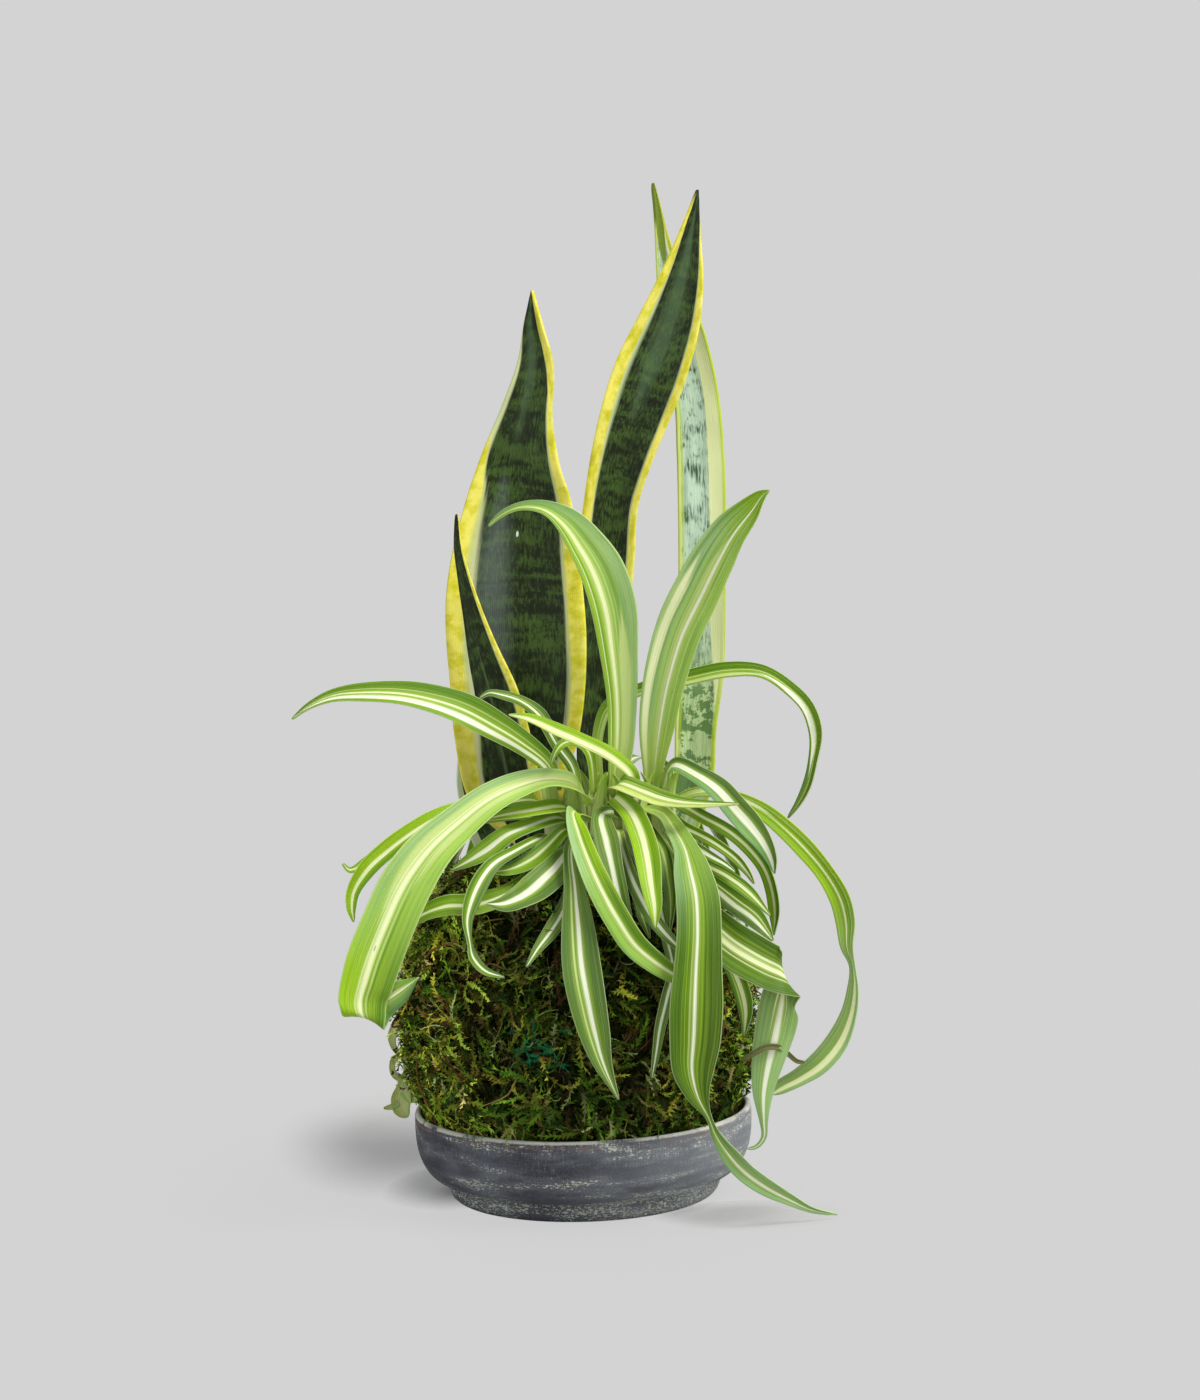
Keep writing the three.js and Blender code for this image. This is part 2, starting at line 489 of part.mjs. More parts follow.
const twoDigits = (n) => String(n).padStart(2, '0');
SPIDER_LEAVES.forEach((leaf, i) => spiderLeaf(`spider_leaf_${twoDigits(i + 1)}`, leaf));
REAR_LEAVES.forEach((leaf, i) => {
  const turn = THREE.MathUtils.degToRad(leaf.heading);
  const out = [Math.cos(turn), Math.sin(turn)];
  const [stem, height, width] = leaf.from;
  const [x, y] = REAR_STEMS[stem];
  const faces = [[-out[0], -out[1], 1.2], [out[0] * 0.6, out[1] * 0.6, 0.8], [out[0], out[1], 0]];
  const { root } = base(stem, height, width, faces[0], [x + out[0], y + out[1], REAR_STEM_TOP + 3]);
  spiderLeaf(`rear_leaf_${i + 1}`, { ...leaf, faces, rows: archedRows(root, leaf) });
});

// The clumps: short stems joined at their foot by a knot of old leaf bases.
function clump(stems, foot, top, knot) {
  let solid = toSolid(knot);
  for (const [x, y] of Object.values(stems)) {
    solid = solid.add(toSolid(upright(x, y, foot, top, STEM_RADIUS, STEM_RADIUS, 9)));
  }
  return toGeometry(solid);
}
const frontKnot = new THREE.SphereGeometry(1, 16, 10).scale(31, 12, 7).translate(15, -22, 147);
const rearKnot = new THREE.SphereGeometry(1, 14, 8).scale(12, 6, 6).translate(8, 53, 137);
place('spider_crown', clump(STEMS, STEM_FOOT, STEM_TOP, frontKnot), crownGreen);
place('rear_crown', clump(REAR_STEMS, REAR_STEM_FOOT, REAR_STEM_TOP, rearKnot), crownGreen);

// ---------------------------------------------------------------- ball of moss and soil
// The ball's outline, [radius, height], from the flat that it rests on to its mouth.
const ballOutline = [
  [30, BALL_REST], [44, BALL_REST], [53, 12], [61, 20], [65.5, 29], [68, 38], [71, 45], [74.5, 54],
  [76, 66], [75.5, 80], [73.5, 94], [70.5, 108], [66.5, 120], [60.5, 131], [53, 140], [45, 146],
  [MOUTH_RADIUS, SOIL_TOP + 1],
];

// Tufts stand out of the moss all round, but none under the ball or inside the rim.
function tufts(turn, height) {
  const columns = Math.cos(turn * 17 + 1.2 * Math.sin(height * 0.17));
  const rows = Math.cos(height * 0.43 + 1.4 * Math.sin(turn * 4));
  const lumps = Math.sin(turn * 5 + height * 0.06) * Math.sin(height * 0.11 - turn * 2);
  const clear = THREE.MathUtils.smoothstep(height, 38, 50);
  return clear * (2.1 * columns * rows + 1.2 * lumps);
}

const ballCurve = new THREE.SplineCurve(ballOutline.map(([r, z]) => new THREE.Vector2(r, z)));
const outerRows = ballCurve.getSpacedPoints(MOSS_ROWS).map((p) => [p.x, Math.max(p.y, BALL_REST)]);
const innerRows = ballOutline.filter((_, i) => i % 2 === 0).map(([radius, height]) => [
  radius - MOSS_THICKNESS, Math.max(height, BALL_REST + MOSS_THICKNESS)]);

function mossShell() {
  const outer = [[0, BALL_REST], ...outerRows];
  const inner = [[0, BALL_REST + MOSS_THICKNESS], ...innerRows].reverse();
  const geometry = turned([...outer, ...inner], MOSS_FACETS);
  const position = geometry.attributes.position;
  const rows = outer.length + inner.length;
  for (let i = 0; i < position.count; i += 1) {
    if (i % rows < outer.length) {
      const [x, y, z] = [position.getX(i), position.getY(i), position.getZ(i)];
      const radius = Math.hypot(x, y);
      const turn = Math.atan2(y, x);
      const stretch = radius > 1 ? 1 + tufts(turn, z) / radius : 1;
      position.setXYZ(i, x * stretch, y * stretch, z);
    }
  }
  return geometry.translate(BALL_X, 0, 0);
}

function soilCore() {
  const outline = innerRows.map(([radius, height]) => [
    Math.max(radius - GAP, 0), Math.min(height + (height < BALL_MIDDLE ? GAP : -GAP), SOIL_TOP)]);
  const floor = BALL_REST + MOSS_THICKNESS + GAP;
  return turned([[0, floor], ...outline, [0, SOIL_TOP]], MOSS_FACETS / 2).translate(BALL_X, 0, 0);
}

// The plain holes that the plants stand in.
const HOLE_TOP = 172;
const holes = [
  upright(15, -21, STEM_FOOT - GAP, HOLE_TOP, 35, 17, 24),
  upright(8, 53, REAR_STEM_FOOT - GAP, HOLE_TOP, 13, 7, 16),
];
for (const leaf of SNAKE_LEAVES) {
  const [x, y, z, width] = leaf.rows[0];
  const [xTop, yTop, , wide] = leaf.rows[1];
  const half = (Math.abs(xTop - x) + Math.max(width, wide)) / 2 + 2;
  const foot = z - Math.abs(xTop - x) * SNAKE_TILT - GAP;
  holes.push(upright((x + xTop) / 2, (y + yTop) / 2 - 1, foot, HOLE_TOP, half, 5, 16));
}

function bored(geometry) {
  let solid = toSolid(geometry);
  for (const hole of holes) solid = solid.subtract(toSolid(hole));
  return toGeometry(solid);
}
place('soil_core', bored(soilCore()), soilBrown);
place('moss_wrap', bored(mossShell()), mossGreen);

export default plant;
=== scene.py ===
# %% [markdown]
# # A kokedama: two plants growing in a ball of moss
# A kokedama is a ball of heavy soil wrapped in sheet moss, with plants growing out of its top.
# This one stands in a worn stoneware saucer. A clump of spider plants arches out of the
# front, and a snake plant's stiff leaves stand behind it.
# The lesson goes from outside in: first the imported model, the camera and the light, then
# the saucer, the leaves and the crown that they grow from, and the moss last, because
# it has to fill what is left between them.

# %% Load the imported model
import math

import bpy
import numpy as np
from mathutils import Matrix, Vector, noise


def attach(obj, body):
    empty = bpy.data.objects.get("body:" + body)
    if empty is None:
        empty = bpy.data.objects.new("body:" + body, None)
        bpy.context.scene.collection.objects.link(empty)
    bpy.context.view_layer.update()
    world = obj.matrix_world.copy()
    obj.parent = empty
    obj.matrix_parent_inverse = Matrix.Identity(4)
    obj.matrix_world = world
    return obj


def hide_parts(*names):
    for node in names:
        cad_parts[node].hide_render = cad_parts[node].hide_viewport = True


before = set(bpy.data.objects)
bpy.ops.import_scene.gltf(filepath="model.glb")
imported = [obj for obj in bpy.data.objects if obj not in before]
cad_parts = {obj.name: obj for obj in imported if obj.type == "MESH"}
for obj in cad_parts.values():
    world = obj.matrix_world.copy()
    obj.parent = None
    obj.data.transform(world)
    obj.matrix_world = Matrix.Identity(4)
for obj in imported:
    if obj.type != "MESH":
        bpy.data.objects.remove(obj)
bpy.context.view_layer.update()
MM = 0.001
print("nodes in the frame:", len(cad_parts))

# %% [markdown]
# ## The camera
# A long lens a good step away keeps the upright leaves from leaning together. The camera
# looks down a few degrees, so that the saucer's rim is a narrow ellipse, and it is rolled
# by a degree and a half, because the saucer stands a little higher at its right.

# %% Place the camera
CAMERA_PLACE = Vector((0.0127, -1.3, 0.315))
CAMERA_DIP = math.radians(4.2)
CAMERA_ROLL = -0.027
PICTURE_HEIGHT = 1400
FOCAL_PIXELS = 2955
SENSOR = 36


def deselect():
    """Leaves no object selected."""
    bpy.ops.object.select_all(action="DESELECT")


deselect()
bpy.ops.object.camera_add()
camera = bpy.context.active_object
camera.name = "camera"
camera.data.sensor_width = SENSOR
camera.data.lens = SENSOR * FOCAL_PIXELS / PICTURE_HEIGHT
aim = Matrix.Rotation(math.pi / 2 - CAMERA_DIP, 4, "X") @ Matrix.Rotation(CAMERA_ROLL, 4, "Z")
camera.matrix_world = Matrix.Translation(CAMERA_PLACE) @ aim
bpy.context.scene.camera = camera
print("lens in millimetres:", round(camera.data.lens, 1))

# %% [markdown]
# ## Helpers for nodes
# Every finish below is a small tree of nodes. What a socket puts out is wrapped as a flow,
# which can be added, subtracted, multiplied and divided as numbers are on paper: each sign
# adds one Math node. So each material reads as a list of what it mixes. Colours are given the
# way a paint program shows them and turned into the linear values that the shader works in.

# %% Flows, and short ways to add nodes
# the tree that new nodes go into is laid here: a material's, a group's or the sky's
bench = {}


class Flow:
    """What one socket puts out."""

    def __init__(self, socket):
        self.socket = socket

    def __add__(self, other):
        return maths("ADD", self, other)

    def __sub__(self, other):
        return maths("SUBTRACT", self, other)

    def __rsub__(self, other):
        return maths("SUBTRACT", other, self)

    def __mul__(self, other):
        return maths("MULTIPLY", self, other)

    def __truediv__(self, other):
        return maths("DIVIDE", self, other)

    __radd__ = __add__
    __rmul__ = __mul__


def colour(code):
    """A colour such as "#8cc21c" as the four linear numbers of a socket."""
    parts = [int(code[i:i + 2], 16) / 255 for i in (1, 3, 5)]
    return (*[p / 12.92 if p <= 0.04045 else ((p + 0.055) / 1.055) ** 2.4 for p in parts], 1.0)


def plug(made, inputs):
    """Feeds a node's inputs. Each gets a flow, a number or numbers, or a colour's code."""
    for name, value in inputs.items():
        if isinstance(value, Flow):
            bench["tree"].links.new(value.socket, made.inputs[name])
        else:
            made.inputs[name].default_value = colour(value) if isinstance(value, str) else value


def node(kind, inputs, output=0, **settings):
    """What one output of a new node gives."""
    made = bench["tree"].nodes.new("ShaderNode" + kind)
    for name, value in settings.items():
        setattr(made, name, value)
    plug(made, inputs)
    return Flow(made.outputs[output])


def flows(made):
    """All that a node gives, by name."""
    return {socket.name: Flow(socket) for socket in made.outputs}


def maths(operation, *values):
    """One Math node."""
    return node("Math", dict(enumerate(values)), operation=operation)


def vector_maths(operation, *vectors, output=0):
    """One Vector Math node."""
    return node("VectorMath", dict(enumerate(vectors)), output, operation=operation)


def place_on(coordinates="Object"):
    """Where the shaded point lies: on its object, in metres, or in its UV map."""
    return node("TexCoord", {}, coordinates)


def apart(vector):
    """A vector's three numbers."""
    made = bench["tree"].nodes.new("ShaderNodeSeparateXYZ")
    plug(made, {0: vector})
    return flows(made).values()


def triple(x, y, z):
    """Three numbers as one vector."""
    return node("CombineXYZ", {0: x, 1: y, 2: z})


def between(value, low, high):
    """0 below low, 1 above high and a smooth rise between them. It falls if low is higher."""
    inputs = {"Value": value, "From Min": low, "From Max": high}
    return node("MapRange", inputs, interpolation_type="SMOOTHSTEP")


def within(value, start, full, fading, end):
    """1 from full to fading, and 0 below start and above end."""
    return between(value, start, full) * between(value, end, fading)


def blend(share, first, second):
    """Two colours mixed: share 0 gives the first and 1 the second."""
    return node("Mix", {0: share, 6: first, 7: second}, 2, data_type="RGBA")


def cloud(vector, scale=1.0, detail=3.0, roughness=0.5):
    """Noise from 0 to 1."""
    inputs = {"Vector": vector, "Scale": scale, "Detail": detail, "Roughness": roughness}
    return node("TexNoise", inputs, "Fac")


def new_group(name, inputs, outputs):
    """A shader node group with number sockets, put on the bench: its tree, and what enters it."""
    tree = bench["tree"] = bpy.data.node_groups.new(name, "ShaderNodeTree")
    for title in inputs:
        tree.interface.new_socket(title, in_out="INPUT", socket_type="NodeSocketFloat")
    for title in outputs:
        tree.interface.new_socket(title, in_out="OUTPUT", socket_type="NodeSocketFloat")
    return tree, flows(tree.nodes.new("NodeGroupInput"))


def give_out(**results):
    """Links what the group on the bench has made to its outputs."""
    plug(bench["tree"].nodes.new("NodeGroupOutput"), results)


def use_group(group, **inputs):
    """A node group placed on the bench, with its own values."""
    made = bench["tree"].nodes.new("ShaderNodeGroup")
    made.node_tree = group
    plug(made, {name.replace("_", " "): value for name, value in inputs.items()})
    return flows(made)


def new_material(name, **sockets):
    """A material on the bench, and its shader with the shader's own sockets set."""
    material = bpy.data.materials.new(name)
    material.use_nodes = True
    bench["tree"] = material.node_tree
    shader = material.node_tree.nodes["Principled BSDF"]
    plug(shader, {title.replace("_", " "): value for title, value in sockets.items()})
    return material, shader


def finish_with(shader, base, rough, height, depth):
    """Links colour, roughness and a bump of the given depth, in metres, to a shader."""
    bump = node("Bump", {"Height": height, "Distance": depth, "Strength": 1.0}, "Normal")
    plug(shader, {"Base Color": base, "Roughness": rough, "Normal": bump})


print("node helpers ready")

# %% [markdown]
# ## Studio light
# The plant was lit softly from the upper right, with so much light from all round that
# its shadow on the table is only a breath. One large panel is the key, weaker ones
# fill from the left, the right and from behind, and the sky gives the rest. The sky that the
# camera sees is a plain light grey. The floor throws light back up everywhere, but it is seen
# only where the shadow falls, to the left of the saucer and under the longest leaf, so that it
# melts into the backdrop and no horizon shows.

# %% Light panels, sky and floor
SKY_LIGHT = 0.44
# place and size in metres, power in watts and tint of each panel
PANELS = {
    "key_panel": ((1.9, -1.2, 3.3), 1.5, 135, (1.0, 0.98, 0.95)),
    "fill_panel": ((-2.2, -2.6, 1.5), 2.2, 24, (0.96, 0.98, 1.0)),
    "side_panel": ((2.4, -0.9, 0.5), 1.2, 13, (1.0, 1.0, 1.0)),
    "back_panel": ((-0.7, 2.6, 2.6), 2.0, 44, (1.0, 1.0, 1.0)),
}
PANEL_AIM = Vector((0, 0, 0.15))
FLOOR_RADIUS = 2.6
FLOOR_DROP = 0.0002
# middle and reach of each patch of floor that is seen, in metres, and how much of it shows
SHADOW_PATCHES = [
    ((-0.085, 0.13), (0.075, 0.16), 1.0), ((-0.06, 0.03), (0.045, 0.07), 1.0),
    ((0.072, -0.05), (0.05, 0.032), 1.0), ((0, 0), (0.3, 0.3), 0.1),
]

for name, (place, size, power, tint) in PANELS.items():
    bpy.ops.object.light_add(type="AREA", location=place)
    panel = bpy.context.active_object
    panel.name = name
    panel.data.size = size
    panel.data.energy = power
    panel.data.color = tint
    panel.rotation_euler = (PANEL_AIM - Vector(place)).to_track_quat("-Z", "Y").to_euler()

world = bpy.data.worlds.new("sky")
bpy.context.scene.world = world
world.use_nodes = True
bench["tree"] = world.node_tree
seen = node("LightPath", {}, "Is Camera Ray")
sky = blend(seen, (SKY_LIGHT, SKY_LIGHT, SKY_LIGHT * 1.02, 1), "#d3d3d3")
plug(world.node_tree.nodes["Background"], {"Color": sky})
bpy.context.scene.view_settings.view_transform = "Standard"

deselect()
bpy.ops.mesh.primitive_circle_add(vertices=96, radius=FLOOR_RADIUS, fill_type="NGON",
                                  location=(0, 0, -FLOOR_DROP))
floor = bpy.context.active_object
floor.name = "floor"
pale_floor, shader = new_material("pale_floor", Roughness=0.9, Specular_IOR_Level=0.1)
spot = place_on()
seen = 1.0 - node("LightPath", {}, "Is Camera Ray")
for middle, reach, most in SHADOW_PATCHES:
    scaled = vector_maths("DIVIDE", vector_maths("SUBTRACT", spot, (*middle, 0)), (*reach, 1))
    far = vector_maths("LENGTH", scaled, output="Value")
    seen = maths("MAXIMUM", seen, between(far, 1.0, 0.25) * most)
plug(shader, {"Base Color": blend(cloud(spot, 40), "#b8b8b8", "#bababa"), "Alpha": seen})
floor.data.materials.append(pale_floor)
print("panels:", len(PANELS), "floor radius:", FLOOR_RADIUS)

# %% [markdown]
# ## The saucer
# The saucer is thrown stoneware: a foot, a groove above it, a round belly and an upright
# wall with a soft rim. A potter raises it ring by ring, and so does this cell: it starts
# from a filled circle, the underside, and extrudes its edge upwards and outwards to each
# ring of the profile, over the rim and down the inside to the floor. The same two helpers
# raise the plants' stems and the bed of the moss later.

# %% Raise the saucer ring by ring
SAUCER_SIDES = 96
SAUCER_UNDERSIDE = 55.5
# radius and height of each ring in millimetres, from the foot to the middle of the floor
SAUCER_RINGS = [
    (57.4, 0.35), (58.6, 1.1), (59.9, 2.6), (60.7, 4.6), (60.9, 6.4), (60.2, 7.4), (60.0, 8.1),
    (60.9, 8.8), (63.6, 9.3), (66.2, 10.2), (69.0, 12.3), (71.2, 15.0), (73.0, 18.6), (74.2, 22.6),
    (74.8, 27.0), (75.0, 31.5), (75.0, 35.4), (74.9, 37.6), (74.4, 38.8), (73.5, 39.2),
    (72.6, 38.9), (72.0, 38.0), (71.4, 36.0), (70.6, 31.5), (69.8, 26.5), (68.6, 21.0),
    (66.6, 16.0), (63.4, 12.0), (58.6, 9.2), (53.0, 8.1), (40.0, 8.0), (20.0, 8.0), (2.0, 8.0),
]


def new_disc(name, sides, radius, place=(0, 0, 0)):
    """A filled circle, in millimetres."""
    deselect()
    spot = [value * MM for value in place]
    bpy.ops.mesh.primitive_circle_add(vertices=sides, radius=radius * MM, fill_type="NGON", location=spot)
    disc = bpy.context.active_object
    bpy.ops.object.transform_apply(location=True)
    disc.name = name
    return disc


def raise_rings(radius, height, rings, centre=(0, 0)):
    """Extrudes a new disc's edge to ring after ring, in millimetres, and closes the last one."""
    bpy.ops.object.mode_set(mode="EDIT")
    bpy.ops.mesh.select_mode(type="EDGE")
    bpy.ops.mesh.select_all(action="SELECT")
    bpy.ops.mesh.region_to_loop()
    for ring_radius, ring_height in rings:
        lift = (0, 0, (ring_height - height) * MM)
        bpy.ops.mesh.extrude_edges_move(TRANSFORM_OT_translate={"value": lift})
        middle = (centre[0] * MM, centre[1] * MM, ring_height * MM)
        growth = ring_radius / radius
        bpy.ops.transform.resize(value=(growth, growth, 1), center_override=middle)
        radius, height = ring_radius, ring_height
    bpy.ops.mesh.merge(type="CENTER")
    bpy.ops.mesh.select_all(action="SELECT")
    bpy.ops.mesh.normals_make_consistent(inside=False)
    bpy.ops.object.mode_set(mode="OBJECT")


saucer = new_disc("stoneware_saucer", SAUCER_SIDES, SAUCER_UNDERSIDE)
raise_rings(SAUCER_UNDERSIDE, 0.0, SAUCER_RINGS)
print("saucer rings:", len(SAUCER_RINGS) + 1, "faces:", len(saucer.data.polygons))

# %% [markdown]
# Nothing thrown by hand is a perfect circle. A slow wobble of a few tenths of a
# millimetre in the wall and the rim keeps the highlights from being ruler straight, and
# one level of subdivision rounds the rings into each other.

# %% Make the saucer a little uneven
WALL_WOBBLE = 0.22 * MM
RIM_WOBBLE = 0.25 * MM


def reshape(obj, change):
    """Moves a mesh's points: change takes their places, one row each, and gives new ones."""
    places = np.empty(len(obj.data.vertices) * 3)
    obj.data.vertices.foreach_get("co", places)
    places = change(places.reshape(-1, 3))
    obj.data.vertices.foreach_set("co", places.ravel())
    obj.data.update()


def apply_modifiers(obj):
    """Turns a piece's modifiers into mesh, from the first to the last."""
    deselect()
    obj.select_set(True)
    bpy.context.view_layer.objects.active = obj
    for modifier in list(obj.modifiers):
        bpy.ops.object.modifier_apply(modifier=modifier.name)


def round_off(obj):
    """Subdivides a piece smoothly once, applies it, and shades it smooth."""
    smooth = obj.modifiers.new("round", "SUBSURF")
    smooth.levels = smooth.render_levels = 1
    apply_modifiers(obj)
    bpy.ops.object.shade_smooth()


def throwing_wobble(places):
    """Three slow waves round the wall, which fade out towards the foot, and one in the rim."""
    turn = np.arctan2(places[:, 1], places[:, 0])
    reach = np.hypot(places[:, 0], places[:, 1])
    high = places[:, 2] / MM
    shift = np.sin(3 * turn + 0.7) + 0.6 * np.sin(7 * turn + high * 0.05) + 0.4 * np.sin(13 * turn)
    grow = 1 + WALL_WOBBLE * shift * np.clip(high / 8, 0, 1) / np.maximum(reach, 0.01)
    rim = RIM_WOBBLE * np.sin(2 * turn + 1.1) * np.clip((high - 30) / 9, 0, 1)
    return np.column_stack([places[:, 0] * grow, places[:, 1] * grow, places[:, 2] + rim])


reshape(saucer, throwing_wobble)
round_off(saucer)
print("saucer faces after rounding:", len(saucer.data.polygons))

# %% [markdown]
# ## The saucer's finish
# The slate-grey slip is worn through in thousands of pale flecks, each less than a millimetre
# high. They gather in clouds that run round the wall, thickest at the foot and under the rim.
# So one noise that is stretched level says where wear gathers, a second, fine one breaks it
# into flecks, and their sum is cut off at a level that sets how much is worn.
# The clay shows as a thin brown line under the rim, and the lip is rubbed pale.

# %% Node group for worn, flecked surfaces
# sizes in metres: across, level with the rim, and up the wall
CLOUD_SIZE = (0.028, 0.005)
FLECK_SIZE = (0.0017, 0.0005)
WEAVE_SIZE = (0.0006, 0.0035)
GRAIN_SIZE = (0.0009, 0.0007)
LEAST_WORN = 0.42
MOST_WORN = 0.705
FLECK_EDGE = 0.015
wear_group, entry = new_group("flecked_wear", ["X", "Y", "Z", "Amount"], ["Wear", "Haze", "Grain"])


def stretched(across, up):
    """The point in a space where one unit is across metres wide and up metres high."""
    return triple(entry["X"] / across, entry["Y"] / across, entry["Z"] / up)


clouds = cloud(stretched(*CLOUD_SIZE), roughness=0.55)
flecks = cloud(stretched(*FLECK_SIZE), detail=4.0, roughness=0.7)
weave = cloud(stretched(*WEAVE_SIZE), detail=2.0)
grain = cloud(stretched(*GRAIN_SIZE), detail=4.0, roughness=0.7)
fine = flecks * 0.46 + weave * 0.12
# where the clouds are thickest a third of the slip is gone, so the flecks never run together
spread = clouds * 0.42 + entry["Amount"]
edge = 1.0 - maths("MINIMUM", spread, MOST_WORN)
haze = between(clouds + weave * 0.35, 0.57, 0.8)
give_out(Wear=between(fine, edge, edge + FLECK_EDGE), Haze=haze, Grain=grain)
print("wear group nodes:", len(wear_group.nodes))

# %% Stoneware material
# a pale slate, for the haze where the slip is rubbed and for the painted light on the lit side
HAZE_AND_LIT_SLATE = "#8d9196"
# heights and a reach, in metres, between which the zones of the finish fade in and out
FOOT_ZONE = (0.0145, 0.007)
RIM_ZONE = (0.027, 0.0375)
RIDGE = (0.0084, 0.0092, 0.0096, 0.0103)
CLAY_LINE = (0.0358, 0.0362, 0.0366, 0.037)
WORN_AND_LIT_SIDE = (-0.015, 0.075)

stoneware, shader = new_material("worn_stoneware", Specular_IOR_Level=0.3)
x, y, z = apart(place_on())
reach = maths("POWER", x * x + y * y, 0.5)
near_foot = between(z, *FOOT_ZONE)
# the right side of the wall: a little more worn, and paler there with painted light
worn_and_lit_side = between(x, *WORN_AND_LIT_SIDE)
# more flecks at the foot, under the rim and along the ridge above the groove, where the pale line is partly
# wear and partly a painted highlight
amount = near_foot * 0.07 + between(z, *RIM_ZONE) * 0.03 + within(z, *RIDGE) * 0.06
amount = amount + worn_and_lit_side * 0.035 + LEAST_WORN
wear = use_group(wear_group, X=x, Y=y, Z=z, Amount=amount)

# the slip: two slates in clouds, pale with haze where it is rubbed, and pale with painted light on the
# right side, which the light from the right meets
clouding = cloud(triple(x, y, z * 2.5), 34, 5.0, 0.65)
slip = blend(between(clouding, 0.35, 0.68), "#33353c", "#51545d")
hazy_and_lit = wear["Haze"] * (0.28 + worn_and_lit_side * 0.32)
slip = blend(hazy_and_lit + worn_and_lit_side * 0.68, slip, HAZE_AND_LIT_SLATE)
slip = blend(near_foot * 0.18, slip, HAZE_AND_LIT_SLATE)
slip = blend(between(wear["Grain"], 0.45, 0.75) * 0.4, slip, "#7d8188")
worn = blend(wear["Wear"] * 0.92, slip, "#d3d8c8")

# the brown line of clay under the rim, broken by a slow noise
clay = between(cloud(triple(x, y, z * 0.2), 60, 4.0, 0.7), 0.44, 0.56)
line = within(z, *CLAY_LINE) * between(reach, 0.0736, 0.074)
worn = blend(line * clay * 0.65, worn, "#8c6452")

# the lip and the inside, rubbed pale, with a ragged border
ragged = (wear["Grain"] - 0.5) * 0.004
inside = between(reach + ragged, 0.0741, 0.0736) * between(z, 0.022, 0.03)
edge_rub = between(z + ragged * 0.35, 0.0374, 0.0381)
patchy = between(cloud(triple(x, y, 0.0), 45, 3.0, 0.6), 0.38, 0.52)
lip = maths("MAXIMUM", inside, edge_rub * patchy)
base = blend(lip * 0.85, worn, "#cfcfc4")
rough = 0.6 + wear["Grain"] * 0.3
finish_with(shader, base, rough, wear["Wear"] * 0.5 + wear["Grain"] * 0.7, 0.0003)
saucer.data.materials.append(stoneware)
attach(saucer, "root")
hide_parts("saucer")
print("stoneware nodes:", len(stoneware.node_tree.nodes))

# %% [markdown]
# ## Leaf blades
# A long leaf is one strip of skin. Its midrib follows a smooth curve through a few
# listed rows; each row also gives the blade's width there, and a few directions say
# which way the upper side looks on its way along. A grid primitive is the strip: its
# columns are laid across the blade and its rows along it. The edges lift, as a gutter's
# do, and Solidify gives the blade its thickness downwards. The grid brings a UV map
# with it, so u runs across the leaf and v along it wherever the leaf goes.

# %% Smooth curves through rows
def along(values, t):
    """Rows of numbers, spread evenly along a leaf, read at t from 0 to 1 on a smooth curve."""
    values = np.asarray(values, float)
    last = len(values) - 1
    spot = np.clip(t, 0, 1) * last
    i = np.minimum(spot.astype(int), max(last - 1, 0))
    a, b, c, d = (values[np.clip(i + step, 0, last)] for step in (-1, 0, 1, 2))
    u = (spot - i).reshape(-1, *[1] * (values.ndim - 1))
    bend = (2 * a - 5 * b + 4 * c - d) * u * u + (3 * b - a - 3 * c + d) * u ** 3
    return 0.5 * (2 * b + (c - a) * u + bend)


def midrib(points, t):
    """A centripetal Catmull-Rom curve, which makes no loops between uneven points."""
    last = len(points) - 1
    ends = np.vstack([2 * points[0] - points[1], points, 2 * points[-1] - points[-2]])
    spot = np.clip(t, 0, 1) * last
    i = np.minimum(spot.astype(int), last - 1)
    u = (spot - i)[:, None]
    a, b, c, d = (ends[i + step] for step in range(4))
    gaps = (np.linalg.norm(q - p, axis=1)[:, None] for p, q in ((a, b), (b, c), (c, d)))
    first, middle, final = (gap ** 0.5 for gap in gaps)
    leave = ((b - a) / first - (c - a) / (first + middle) + (c - b) / middle) * middle
    arrive = ((c - b) / middle - (d - b) / (middle + final) + (d - c) / final) * middle
    bend = (3 * c - 3 * b - 2 * leave - arrive) * u * u + (2 * b - 2 * c + leave + arrive) * u ** 3
    return b + leave * u + bend


def unit(vectors):
    """Vectors brought to length one."""
    return vectors / np.maximum(np.linalg.norm(vectors, axis=-1, keepdims=True), 1e-9)


def heading(points, t):
    """The direction in which the midrib runs at t."""
    step = 1e-4
    return unit(midrib(points, np.minimum(t + step, 1)) - midrib(points, np.maximum(t - step, 0)))


print("curve helpers ready")

# %% Turn a grid into a leaf
# in millimetres: the least width, the two thicknesses, the length of a face, and the crinkle
LEAF_TIP = 0.9
SPIDER_THICKNESS = 0.7
SNAKE_THICKNESS = 1.6
ROW_STEP = 2.4
CRINKLE = 0.28


def sideways_rows(rows, faces, folds):
    """The line across the blade at each row, from the way its upper side looks."""
    t = np.linspace(0, 1, len(rows))
    across = unit(np.cross(heading(rows[:, :3], t), along(faces, t)))
    for row, line in folds.items():
        across[row] = unit(np.array(line, float))
    if np.dot(across[0], across[1]) < 0:
        across[0] = -across[0]
    for i in range(2, len(rows)):
        if np.dot(across[i], across[i - 1]) < 0:
            across[i] = -across[i]
    return across


def leaf_surface(u, t, rows, across_rows, keel, ripple, waves):
    """Places in millimetres for u from -1 to 1 across the blade and t from 0 to 1 along it."""
    centre = midrib(rows[:, :3], t)
    across = unit(along(across_rows, t))
    up = unit(np.cross(across, heading(rows[:, :3], t)))
    half = np.maximum(along(rows[:, 3], t), LEAF_TIP) / 2
    half = half * np.clip((1 - t) * 40 + 0.25, 0, 1)
    lift = keel * half * u * u + ripple * u ** 3 * np.sin(waves * 2 * np.pi * t)
    return centre + across * (u * half)[:, None] + up * lift[:, None]


